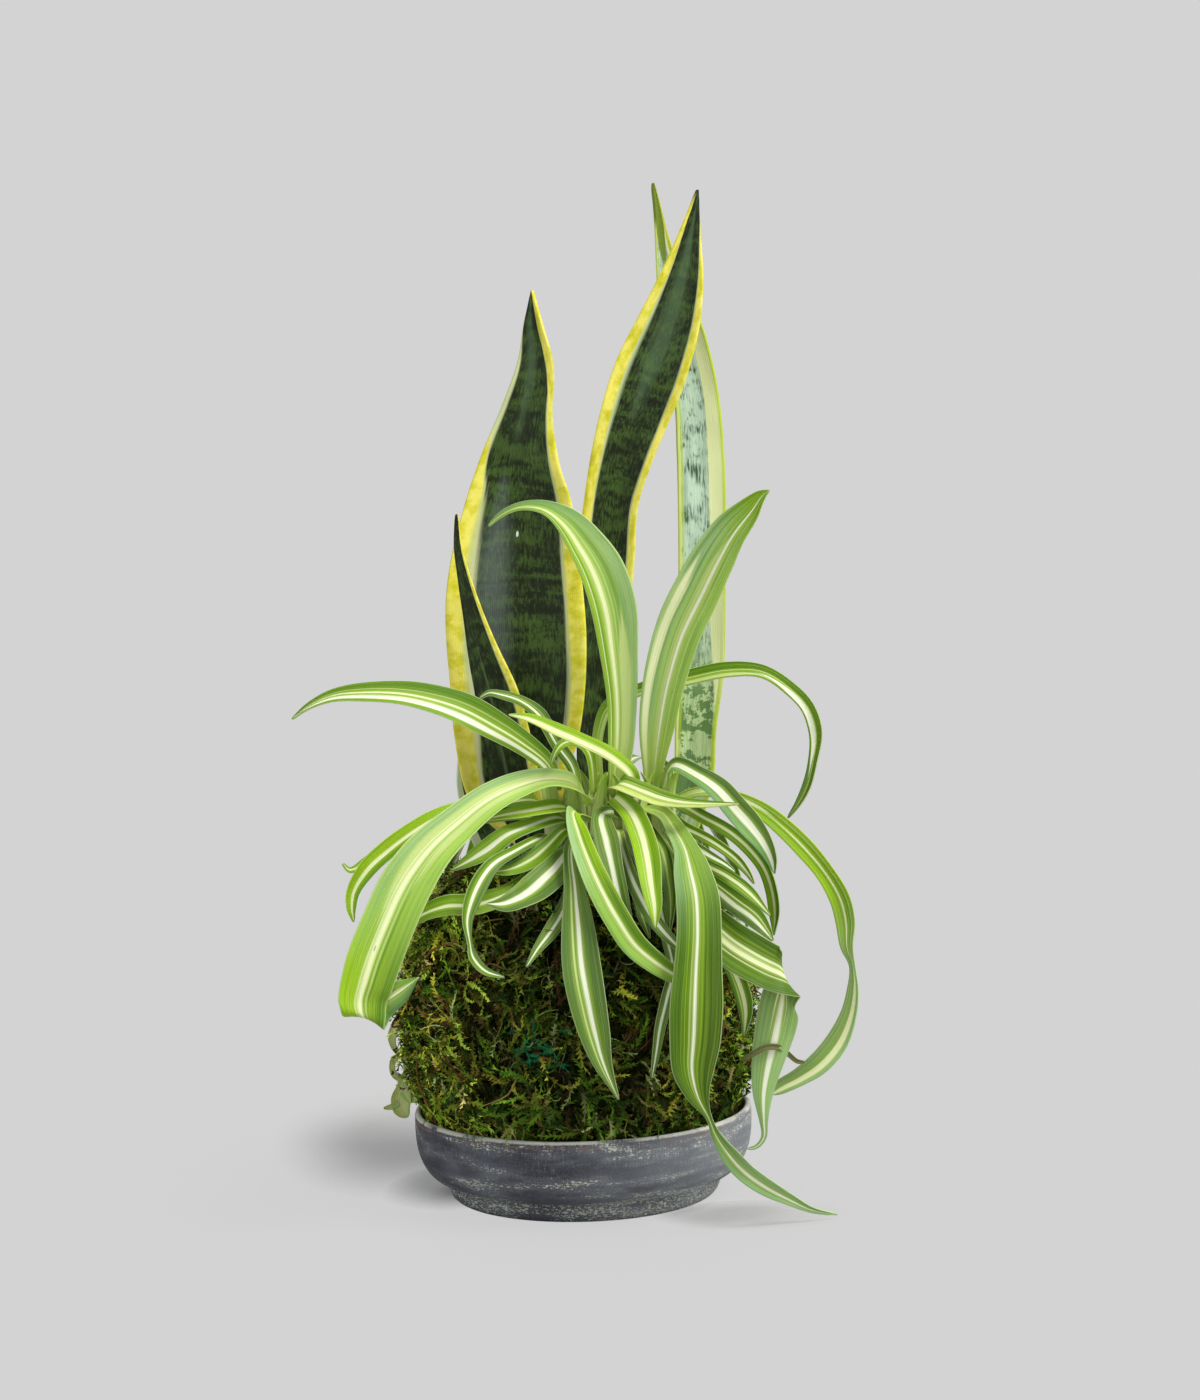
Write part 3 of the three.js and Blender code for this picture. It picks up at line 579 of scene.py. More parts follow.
def new_leaf(name, rows, faces, folds, spans, keel, thickness, ripple, waves, seed):
    """A leaf as a solid strip, not yet rounded off."""
    rows = np.array(rows, float)
    across_rows = sideways_rows(rows, faces, folds)
    length = np.linalg.norm(np.diff(rows[:, :3], axis=0), axis=1).sum()
    steps = max(14, int(length / ROW_STEP))
    deselect()
    bpy.ops.mesh.primitive_grid_add(x_subdivisions=spans, y_subdivisions=steps, size=2)
    leaf = bpy.context.active_object
    leaf.name = name
    draw = np.random.default_rng(seed)
    sway = draw.uniform(0, 2 * np.pi, 4)

    def lay_out(places):
        """Takes the flat grid's points to their places along the leaf."""
        u, t = places[:, 0], (places[:, 1] + 1) / 2
        flat = leaf_surface(u, t, rows, across_rows, keel, ripple, waves)
        # a crinkle of a few tenths of a millimetre, strongest at the edges
        crinkle = np.sin(t * length / 5.3 + sway[0]) * np.sin(t * length / 13 + sway[1]) * u
        crinkle = crinkle + 0.6 * np.sin(t * length / 8.1 + sway[2]) * np.sin(u * 2 + sway[3])
        room = np.clip(along(rows[:, 3], t) / 16, 0.1, 1) * np.clip(t * 8, 0, 1)
        across = unit(along(across_rows, t))
        up = unit(np.cross(across, heading(rows[:, :3], t)))
        return (flat + up * (CRINKLE * crinkle * room)[:, None]) * MM

    reshape(leaf, lay_out)
    solid = leaf.modifiers.new("thickness", "SOLIDIFY")
    solid.thickness = thickness * MM
    solid.offset = -1
    solid.material_offset = 1
    return leaf


print("thickness of a spider plant's leaf:", SPIDER_THICKNESS, "mm")

# %% [markdown]
# ## What the leaf finishes share
# Both plants have parallel veins, which catch the light as fine lines along the leaf, and
# both carry stripes that follow those veins. A real stripe has no ruled edge: it frays into
# thin lines, because the tissue turns pale vein by vein. So one group draws the veins as lines
# of two widths, and the other lays a stripe whose edge is pushed in and out by noise as fine
# as the veins. Both read the leaf's own UV map. Fineness sets how many lines there are on each
# side of the midrib.

# %% Node groups for veins and stripes
vein_group, entry = new_group(
    "leaf_veins", ["Across", "Along", "Fineness", "Seed"], ["Lines", "Bands", "Height", "Mottle"])
fine = triple(entry["Across"] * (entry["Fineness"] * 2.0), entry["Along"] * 2.2, entry["Seed"])
wide = triple(entry["Across"] * (entry["Fineness"] * 0.55), entry["Along"] * 1.3, entry["Seed"] + 3.1)
soft = triple(entry["Across"] * 2.5, entry["Along"] * 9.0, entry["Seed"])
ribs = maths("SINE", entry["Across"] * (entry["Fineness"] * 7.0))
lines = cloud(fine, detail=2.0)
give_out(Lines=lines, Bands=cloud(wide, detail=2.0), Height=ribs * 0.2 + lines,
         Mottle=cloud(soft, detail=4.0, roughness=0.6))

stripe_group, entry = new_group(
    "leaf_stripe", ["Across", "Along", "Centre", "Half Width", "Softness", "Fray", "Fineness", "Wander",
                    "Seed"], ["Stripe"])
drift = cloud(triple(entry["Centre"], entry["Along"] * 3.5, entry["Seed"]), detail=2.0) - 0.5
fray_spot = triple(entry["Across"] * entry["Fineness"], entry["Along"] * 2.4, entry["Seed"])
fray = cloud(fray_spot, roughness=0.6) - 0.5
moved = entry["Across"] - entry["Centre"] + drift * entry["Wander"]
far = maths("ABSOLUTE", moved) + fray * entry["Fray"]
outer = entry["Half Width"] + entry["Softness"]
inner = entry["Half Width"] - entry["Softness"]
give_out(Stripe=between(far, outer, inner))
print("leaf groups:", vein_group.name, stripe_group.name)

# %% Start a leaf's finish, and lay stripes on it
# how far a stripe takes to widen or to narrow, as a share of the leaf
STRIPE_TAPER = 0.08


def leaf_skin(name, fineness, seed, sheen, glow, depth):
    """A leaf's material and shader, u from -1 to 1 across it, v from 0 to 1 along it, and its veins.
    Light soaks in as deep as depth, in metres."""
    material, shader = new_material(name, Specular_IOR_Level=sheen, Subsurface_Weight=glow,
                                    Subsurface_Scale=depth)
    u, v, _ = apart(place_on("UV"))
    u = u * 2.0 - 1.0
    veins = use_group(vein_group, Across=u, Along=v, Fineness=fineness, Seed=seed)
    return material, shader, u, v, veins


def add_stripe(base, u, v, seed, centre, half, tint, strength=1.0, softness=0.05, wander=0.1,
               fray=0.1, fineness=14.0, start=None, stop=None):
    """Lays a stripe over a colour. It can widen from start and narrow to stop, as shares of the leaf."""
    there = 1.0
    if start is not None:
        there = between(v, start - STRIPE_TAPER, start + STRIPE_TAPER)
    if stop is not None:
        there = there * between(v, stop + STRIPE_TAPER, stop - STRIPE_TAPER)
    stripe = use_group(stripe_group, Across=u, Along=v, Centre=centre, Half_Width=there * half,
                       Softness=softness, Fray=fray, Fineness=fineness, Wander=wander, Seed=seed)
    return blend(stripe["Stripe"] * maths("MINIMUM", there * 4.0, strength), base, tint)


print("stripes ready")

# %% [markdown]
# ## The snake plant
# Its leaves are thick and stiff, dark green, and edged with yellow. What looks like wavering
# bands across them is, close up, rows of short strokes along the veins, so the band group
# adds a coarse noise, wide across and short along, to a fine one that runs along.
# Each leaf shows other widths of edge, so each has a finish of its own from the same
# function, with its own stripes. A stripe is listed with its place across the leaf, its half
# width and its tint. On the first two leaves one soft, broad stripe is painted sheen.
# The third leaf shows its pale back, with dark marks and ragged low bands.

# %% Snake plant finish
YELLOW = "yellow"
CREAM = "#e2e6ae"
PALE_GREEN = "#bccf98"

band_group, entry = new_group("snake_bands", ["Across", "Along", "Spacing", "Strokes", "Seed"], ["Bands"])
waver = cloud(triple(entry["Across"] * 1.2, entry["Along"] * 16.0, entry["Seed"])) * 2.4
down = entry["Along"] * entry["Spacing"] + waver
rows = cloud(triple(entry["Across"] * 1.1, down, entry["Seed"]), detail=2.0)
stroke_spot = triple(entry["Across"] * entry["Strokes"], down * 1.3, entry["Seed"] + 1.7)
strokes = cloud(stroke_spot, roughness=0.65)
give_out(Bands=rows * 0.46 + strokes * 0.54)


def snake_finish(name, dark, light, spacing, cover, stripes, seed, gloss, strokes, low_bands=None,
                 speck=None):
    """cover is the share of the leaf that the light colour takes, and strokes their fineness."""
    material, shader, u, v, veins = leaf_skin(name, strokes, seed, sheen=0.24, glow=0.05, depth=0.002)
    marks = use_group(band_group, Across=u, Along=v, Spacing=spacing, Strokes=strokes, Seed=seed)["Bands"]
    edge = 0.6 - 0.2 * cover
    pale = between(marks, edge - 0.07, edge + 0.12)
    base = blend(pale, dark, light)
    if low_bands is not None:
        # below this share of the leaf the marks close up into whole ragged bands
        low = between(v, low_bands + 0.08, low_bands - 0.04)
        zigzag = cloud(triple(u * 0.75, v * 36.0, seed), detail=5.0, roughness=0.68) + marks * 0.3
        base = blend(low * 0.9, base, "#c3dc9a")
        base = blend(between(zigzag, 0.655, 0.615) * low * 0.85, base, "#4e7a33")
    base = blend(between(veins["Mottle"], 0.4, 0.75) * 0.45, base, dark)
    base = blend(between(veins["Lines"], 0.45, 0.7) * 0.14, base, "#1f2c12")
    blotches = cloud(triple(u * 4.0, v * 42.0, seed), detail=4.0, roughness=0.6)
    yellow = blend(between(blotches, 0.4, 0.62), "#f5ec6a", "#dcd62e")
    yellow = blend(between(blotches, 0.6, 0.7) * 0.5, yellow, "#b9ba2e")
    for stripe in stripes:
        if stripe["tint"] == YELLOW:
            # the margin is paler along its ragged inner edge
            edging = {"tint": "#d3dc9c", "half": stripe["half"] + 0.045, "strength": 0.75, "fray": 0.14}
            base = add_stripe(base, u, v, seed, **{**stripe, **edging})
            stripe = {**stripe, "tint": yellow}
        base = add_stripe(base, u, v, seed, **stripe)
    if speck is not None:
        # a pale speck a millimetre or two wide
        away = triple((u - speck[0]) * 38.0, (v - speck[1]) * 200.0, 0.0)
        off = vector_maths("LENGTH", away, output="Value")
        base = blend(between(off, 1.0, 0.6), base, "#dfe6dc")
    rough = gloss + veins["Mottle"] * 0.2
    finish_with(shader, base, rough, veins["Height"] + pale * 0.4, 0.00008)
    return material


print("snake plant finish ready")

# %% The snake plant's leaves
# rows: x, y, height and width in millimetres, from the ball to the tip
SNAKE_LEAVES = [
    dict(faces=((0, -1, 0.15),), ripple=1.2, waves=3.5, rows=[
        (-13, 22, 124, 20), (-14, 22, 155, 28), (-25, 23, 178, 44), (-25, 24, 201, 55),
        (-24, 24, 223, 60), (-24, 24, 246, 62.5), (-24, 24, 264, 61.5), (-23, 24, 284, 56.5),
        (-21, 23, 308, 47), (-20, 22, 326, 35), (-16, 22, 348, 22.5), (-12, 21, 368, 16),
        (-13, 20, 386, 8), (-13, 19, 401, 1)],
     finish=dict(dark="#161f06", light="#435d22", spacing=58, cover=0.5, gloss=0.34, strokes=30,
         speck=(0.0, 0.568), stripes=[
         # a soft blue-grey band: painted sheen, the light's reflection on the waxy leaf
         dict(centre=-0.35, half=0.22, tint="#8b9a96", strength=0.3, softness=0.2, start=0.3, stop=0.6),
         dict(centre=-0.2, half=0.25, tint="#5f7d5a", strength=0.35, softness=0.2, start=0.78),
         dict(centre=-0.66, half=0.07, tint=CREAM, strength=0.8, wander=0.14, start=0.2, stop=0.58),
         dict(centre=-0.98, half=0.13, tint="#c9d29a", wander=0.1, softness=0.05, start=0.62, stop=0.9),
         dict(centre=-0.95, half=0.24, tint=YELLOW, wander=0.16, softness=0.03, fray=0.05, stop=0.68),
         dict(centre=-0.72, half=0.035, tint=PALE_GREEN, strength=0.7, wander=0.14, start=0.3, stop=0.6),
         dict(centre=1.0, half=0.22, tint=YELLOW, wander=0.18, softness=0.03, fray=0.05),
         dict(centre=1.0, half=0.44, tint=YELLOW, wander=0.16, softness=0.03, fray=0.05, start=0.8),
     ])),
    dict(faces=((0.1, -1, 0.1),), ripple=0.8, waves=3, rows=[
        (8, 32, 124, 16), (10, 31, 154, 18), (12, 30, 191, 21), (14, 28, 222, 23), (15, 27, 254, 23.5),
        (17, 25.5, 282, 25), (20, 22.5, 307, 24), (26, 19, 329, 27.5), (32, 17, 346, 30.5),
        (39, 15, 364, 31.5), (48, 13, 386, 26.5), (54, 11, 405, 18.5), (59, 9, 427, 7.5),
        (62, 8, 442, 1)],
     finish=dict(dark="#161f06", light="#455f24", spacing=64, cover=0.5, gloss=0.36, strokes=20,
         stripes=[
         # a soft grey-green band along the midrib near the tip: painted sheen
         dict(centre=0.0, half=0.3, tint="#6b8a60", strength=0.36, softness=0.2, fray=0.6, start=0.66,
              stop=0.94),
         dict(centre=-0.62, half=0.07, tint=PALE_GREEN, strength=0.8, start=0.55, stop=0.8),
         dict(centre=-0.98, half=0.3, tint=YELLOW, wander=0.14, softness=0.03, fray=0.05, start=0.36,
              stop=0.93),
         dict(centre=1.0, half=0.2, tint=YELLOW, wander=0.12, softness=0.03, fray=0.04, stop=0.94),
     ])),
    dict(faces=((0, -1, 0.1),), ripple=0.6, waves=3, rows=[
        (32, 38, 120, 14), (44, 40, 149, 16), (54, 40, 179, 18), (56, 40, 202, 18.5),
        (59, 40, 229, 20.5), (60, 39, 261, 21), (61, 38, 297, 21.5), (61, 38, 329, 21),
        (60, 37, 351, 20), (56, 36, 374, 19), (51, 35, 396, 15), (47, 34, 418, 7.5), (45, 33, 436, 3),
        (43, 32, 448, 1)],
     finish=dict(dark="#375840", light="#c9e2c8", spacing=50, cover=0.93, gloss=0.45, strokes=12,
         low_bands=0.3, stripes=[
         dict(centre=0.82, half=0.5, tint="#edf6b6", wander=0.14, softness=0.05, start=0.3),
         dict(centre=0.98, half=0.1, tint="#b9cf3e", wander=0.3, softness=0.08, fray=0.3),
         dict(centre=-0.94, half=0.08, tint="#d4e27c", wander=0.05, softness=0.03),
         dict(centre=-0.8, half=0.05, tint="#a9c02c", strength=0.7, wander=0.12),
         dict(centre=-0.2, half=0.95, tint="#74892a", wander=0.1, softness=0.1, start=0.86),
         dict(centre=0.85, half=0.35, tint="#c6cc44", wander=0.1, softness=0.08, start=0.8),
     ])),
    dict(faces=((0.15, -1, 0.1),), ripple=0, waves=0, rows=[
        (-22, 10, 124, 15), (-17, 11, 152, 17), (-24, 11, 175, 20.5), (-29, 10, 200, 21.5),
        (-33, 9, 222, 19), (-38, 8, 240, 14), (-42, 7, 257, 9), (-46, 6, 276, 5), (-48, 6, 289, 3),
        (-48, 5, 303, 1)],
     finish=dict(dark="#161f06", light="#3a531e", spacing=40, cover=0.4, gloss=0.4, strokes=9, stripes=[
         dict(centre=-0.3, half=0.06, tint="#5d6f4c", strength=0.5, wander=0.1, stop=0.55),
         dict(centre=1.05, half=0.36, tint=YELLOW, wander=0.1, softness=0.03, fray=0.04),
     ])),
    dict(faces=((0.1, -1, 0.1),), ripple=0, waves=0, rows=[
        (-32, 41, 122, 11), (-36, 42, 142, 12.5), (-45, 43, 163, 11), (-50, 44, 179, 7),
        (-51, 44, 191, 3), (-51, 44, 199, 1)],
     finish=dict(dark="#25391a", light="#557038", spacing=30, cover=0.5, gloss=0.4, strokes=8, stripes=[
         dict(centre=-0.75, half=0.4, tint="#cfdcb4", wander=0.1, softness=0.04),
     ])),
]
print("snake leaves:", len(SNAKE_LEAVES))

# %% Grow the five snake plant leaves
for number, leaf in enumerate(SNAKE_LEAVES, 1):
    name = f"snake_leaf_{number}"
    blade = new_leaf(name + "_blade", leaf["rows"], leaf["faces"], {}, spans=14, keel=0.2,
                     thickness=SNAKE_THICKNESS, ripple=leaf["ripple"], waves=leaf["waves"], seed=number)
    round_off(blade)
    for side in ("_skin", "_back"):
        blade.data.materials.append(snake_finish(name + side, seed=number * 3.7, **leaf["finish"]))
    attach(blade, "root")
    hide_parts(name)
    print(name, "faces:", len(blade.data.polygons))

# %% [markdown]
# ## The spider plants
# Their leaves are thin and soft: yellow-green beside the midrib, deeper or bluer towards the
# edges, striped with cream down the middle, and paler at the foot. Some run out and fold
# over, some twist on themselves, and the longest trails past the saucer. The left and right
# halves of each leaf get their own green. The greyer and bluer greens are partly the leaf's
# colour and partly painted sheen and shade, where one half of a keeled blade, or a hanging
# leaf, meets the light at another angle. Each leaf's stripes are listed with their place
# across the leaf, half width and tint, and where they start and stop along it if they don't
# run all the way. Where a leaf changes its greens on the way, a fourth entry says at which
# share of its length, and to which left and right green.

# %% Spider plant finish
# greens for the halves of a blade: grey, blue and sky are partly the leaf's colour and partly painted sheen
# and shade
GREENS = {
    "bright": "#8eba04", "fresh": "#74a00a", "leaf": "#548010", "deep": "#2c5600", "mint": "#7caa40",
    "lime": "#a1c95c", "sky": "#97bd80", "blue": "#6e9d62", "grey": "#4c6c34", "dark": "#2a480a",
    "cream": "#cfdc84", "dull": "#7c966a",
}
TINTS = {"white": "#f2f5dc", "cream": "#e9efba", "pale": "#c2d584", "fresh": "#93b824"}
UNDERSIDE = "#a9bb99"
NEAR_STRIPE = "#9cc024"
SHOULDER = "#a8c75c"
VEIN_LIGHT = "#b5cf4c"
VEIN_DARK = "#3d6600"
LEAF_FOOT = "#cbe264"
# the tint of the painted highlight along a blade's edges
EDGE_HIGHLIGHT = "#cfe0a4"
# the half width above which a stripe has a paler shoulder, and how far stripes wander sideways
BROAD_STRIPE = 0.045
STRIPE_WANDER = 0.14


def spider_finish(name, paint, fineness, seed, underside):
    """paint: the greens at u = -1 and u = 1, the stripes, and perhaps later greens and their start."""
    left, right, stripes, *later = paint
    material, shader, u, v, veins = leaf_skin(name, fineness, seed, sheen=0.24, glow=0.1, depth=0.0015)
    # the two greens, partly painted sheen and shade, meet along the veins, not along a ruled line
    wobble = (veins["Bands"] - 0.5) * 0.9
    side = between(u + wobble, -0.6, 0.65)
    base = blend(side, GREENS[left], GREENS[right])
    for start, left, right in later:
        base = blend(between(v, start - 0.12, start + 0.12), base, blend(side, GREENS[left], GREENS[right]))
    base = blend(between(veins["Mottle"], 0.45, 0.75) * 0.25, base, "#4f8420")
    middle = between(maths("ABSOLUTE", u + wobble), 0.85, 0.1)
    base = blend(middle * (0.15 if underside else 0.3), base, NEAR_STRIPE)
    light_lines = between(veins["Bands"], 0.5, 0.7) * 0.3
    fine_lines = between(veins["Lines"], 0.52, 0.7) * 0.32
    base = blend(maths("MAXIMUM", light_lines, fine_lines), base, VEIN_LIGHT)
    dark_lines = between(veins["Bands"], 0.48, 0.32) * 0.42
    thin_lines = between(veins["Lines"], 0.46, 0.34) * 0.4
    base = blend(maths("MAXIMUM", dark_lines, thin_lines), base, VEIN_DARK)
    for centre, half, tint, *reach in stripes:
        shared = {"wander": STRIPE_WANDER, "fineness": fineness, **dict(zip(("start", "stop"), reach))}
        broad = half > BROAD_STRIPE
        if broad:
            # the tissue beside a stripe pales vein by vein
            base = add_stripe(base, u, v, seed, centre, half + 0.08, SHOULDER, strength=0.4, softness=0.1,
                              fray=0.4, **shared)
        base = add_stripe(base, u, v, seed, centre, half, TINTS[tint], strength=0.95 if broad else 0.6,
                          softness=min(0.07, half * 0.65), fray=min(0.28, half * 1.6), **shared)
    base = blend(between(veins["Lines"], 0.47, 0.36) * 0.2, base, NEAR_STRIPE)
    base = blend(between(v, 0.16, 0.0) * 0.6, base, LEAF_FOOT)
    # a thin pale line along both edges: a painted highlight where the blade's thickness catches the light
    base = blend(between(maths("ABSOLUTE", u), 0.94, 0.985) * 0.5, base, EDGE_HIGHLIGHT)
    if underside:
        base = blend(0.62, base, UNDERSIDE)
    specks = cloud(triple(u * 7.0, v * 60.0, seed), detail=1.0)
    base = blend(between(specks, 0.8, 0.83) * 0.55, base, "#4a4a22")
    finish_with(shader, base, 0.38 + veins["Mottle"] * 0.2, veins["Height"], 0.00012)
    return material


print("greens:", len(GREENS), "tints:", len(TINTS))

# %% Stems that the leaves spring from
# a height that lies above every stem
ON_TOP = 999
# the room left between a leaf and its stem, in millimetres
GAP = 0.35
STEM_RADIUS = 4
STEM_TOP = 180
REAR_STEM_TOP = 162
SPIDER_KEEL = 0.28
# x and y of each stem
STEMS = {
    "a1": (-8, -20), "a2": (2, -24), "a3": (9, -31), "b1": (18, -22), "b2": (26, -29),
    "c1": (34, -19), "c2": (39, -28), "e1": (11, -11),
}
REAR_STEMS = {"d1": (2, 52), "d2": (14, 54)}


def leaf_base(stem, height, width, face, ahead_of):
    """Where a leaf leaves its stem, and the line across its base if it clasps the side."""
    top = STEM_TOP if stem in STEMS else REAR_STEM_TOP
    x, y = {**STEMS, **REAR_STEMS}[stem]
    if height > top:
        ahead = unit(np.array([ahead_of[0] - x, ahead_of[1] - y, ahead_of[2] - top], float))
        across = unit(np.cross(ahead, face))
        up = np.cross(across, ahead)
        dip = abs(across[2]) * width / 2 + abs(up[2]) * SPIDER_THICKNESS
        return (x, y, top + GAP + dip), {}
    away = unit(np.array([ahead_of[0] - x, ahead_of[1] - y], float)) * (STEM_RADIUS + 2 * GAP)
    return (x + away[0], y + away[1], height), {0: (-away[1], away[0], 0)}


def grow_spider_leaf(name, stem, height, width, faces, rows, folds, paint, seed):
    """A leaf from a height on its stem through the rows, with its two skins."""
    root, clasp = leaf_base(stem, height, width, faces[0], rows[0])
    blade = new_leaf(name + "_blade", [(*root, width), *rows], faces, {**clasp, **folds}, spans=8,
                     keel=SPIDER_KEEL, thickness=SPIDER_THICKNESS, ripple=0, waves=0, seed=seed)
    round_off(blade)
    # a wide leaf has more veins than a narrow one
    widest = max(row[3] for row in rows)
    fineness = min(max(widest * 0.62, 4.5), 13.0)
    for side, under in (("_skin", False), ("_back", True)):
        blade.data.materials.append(spider_finish(name + side, paint, fineness, seed * 2.3, under))
    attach(blade, "root")
    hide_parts(name)
    return blade


print("stems:", len(STEMS) + len(REAR_STEMS))

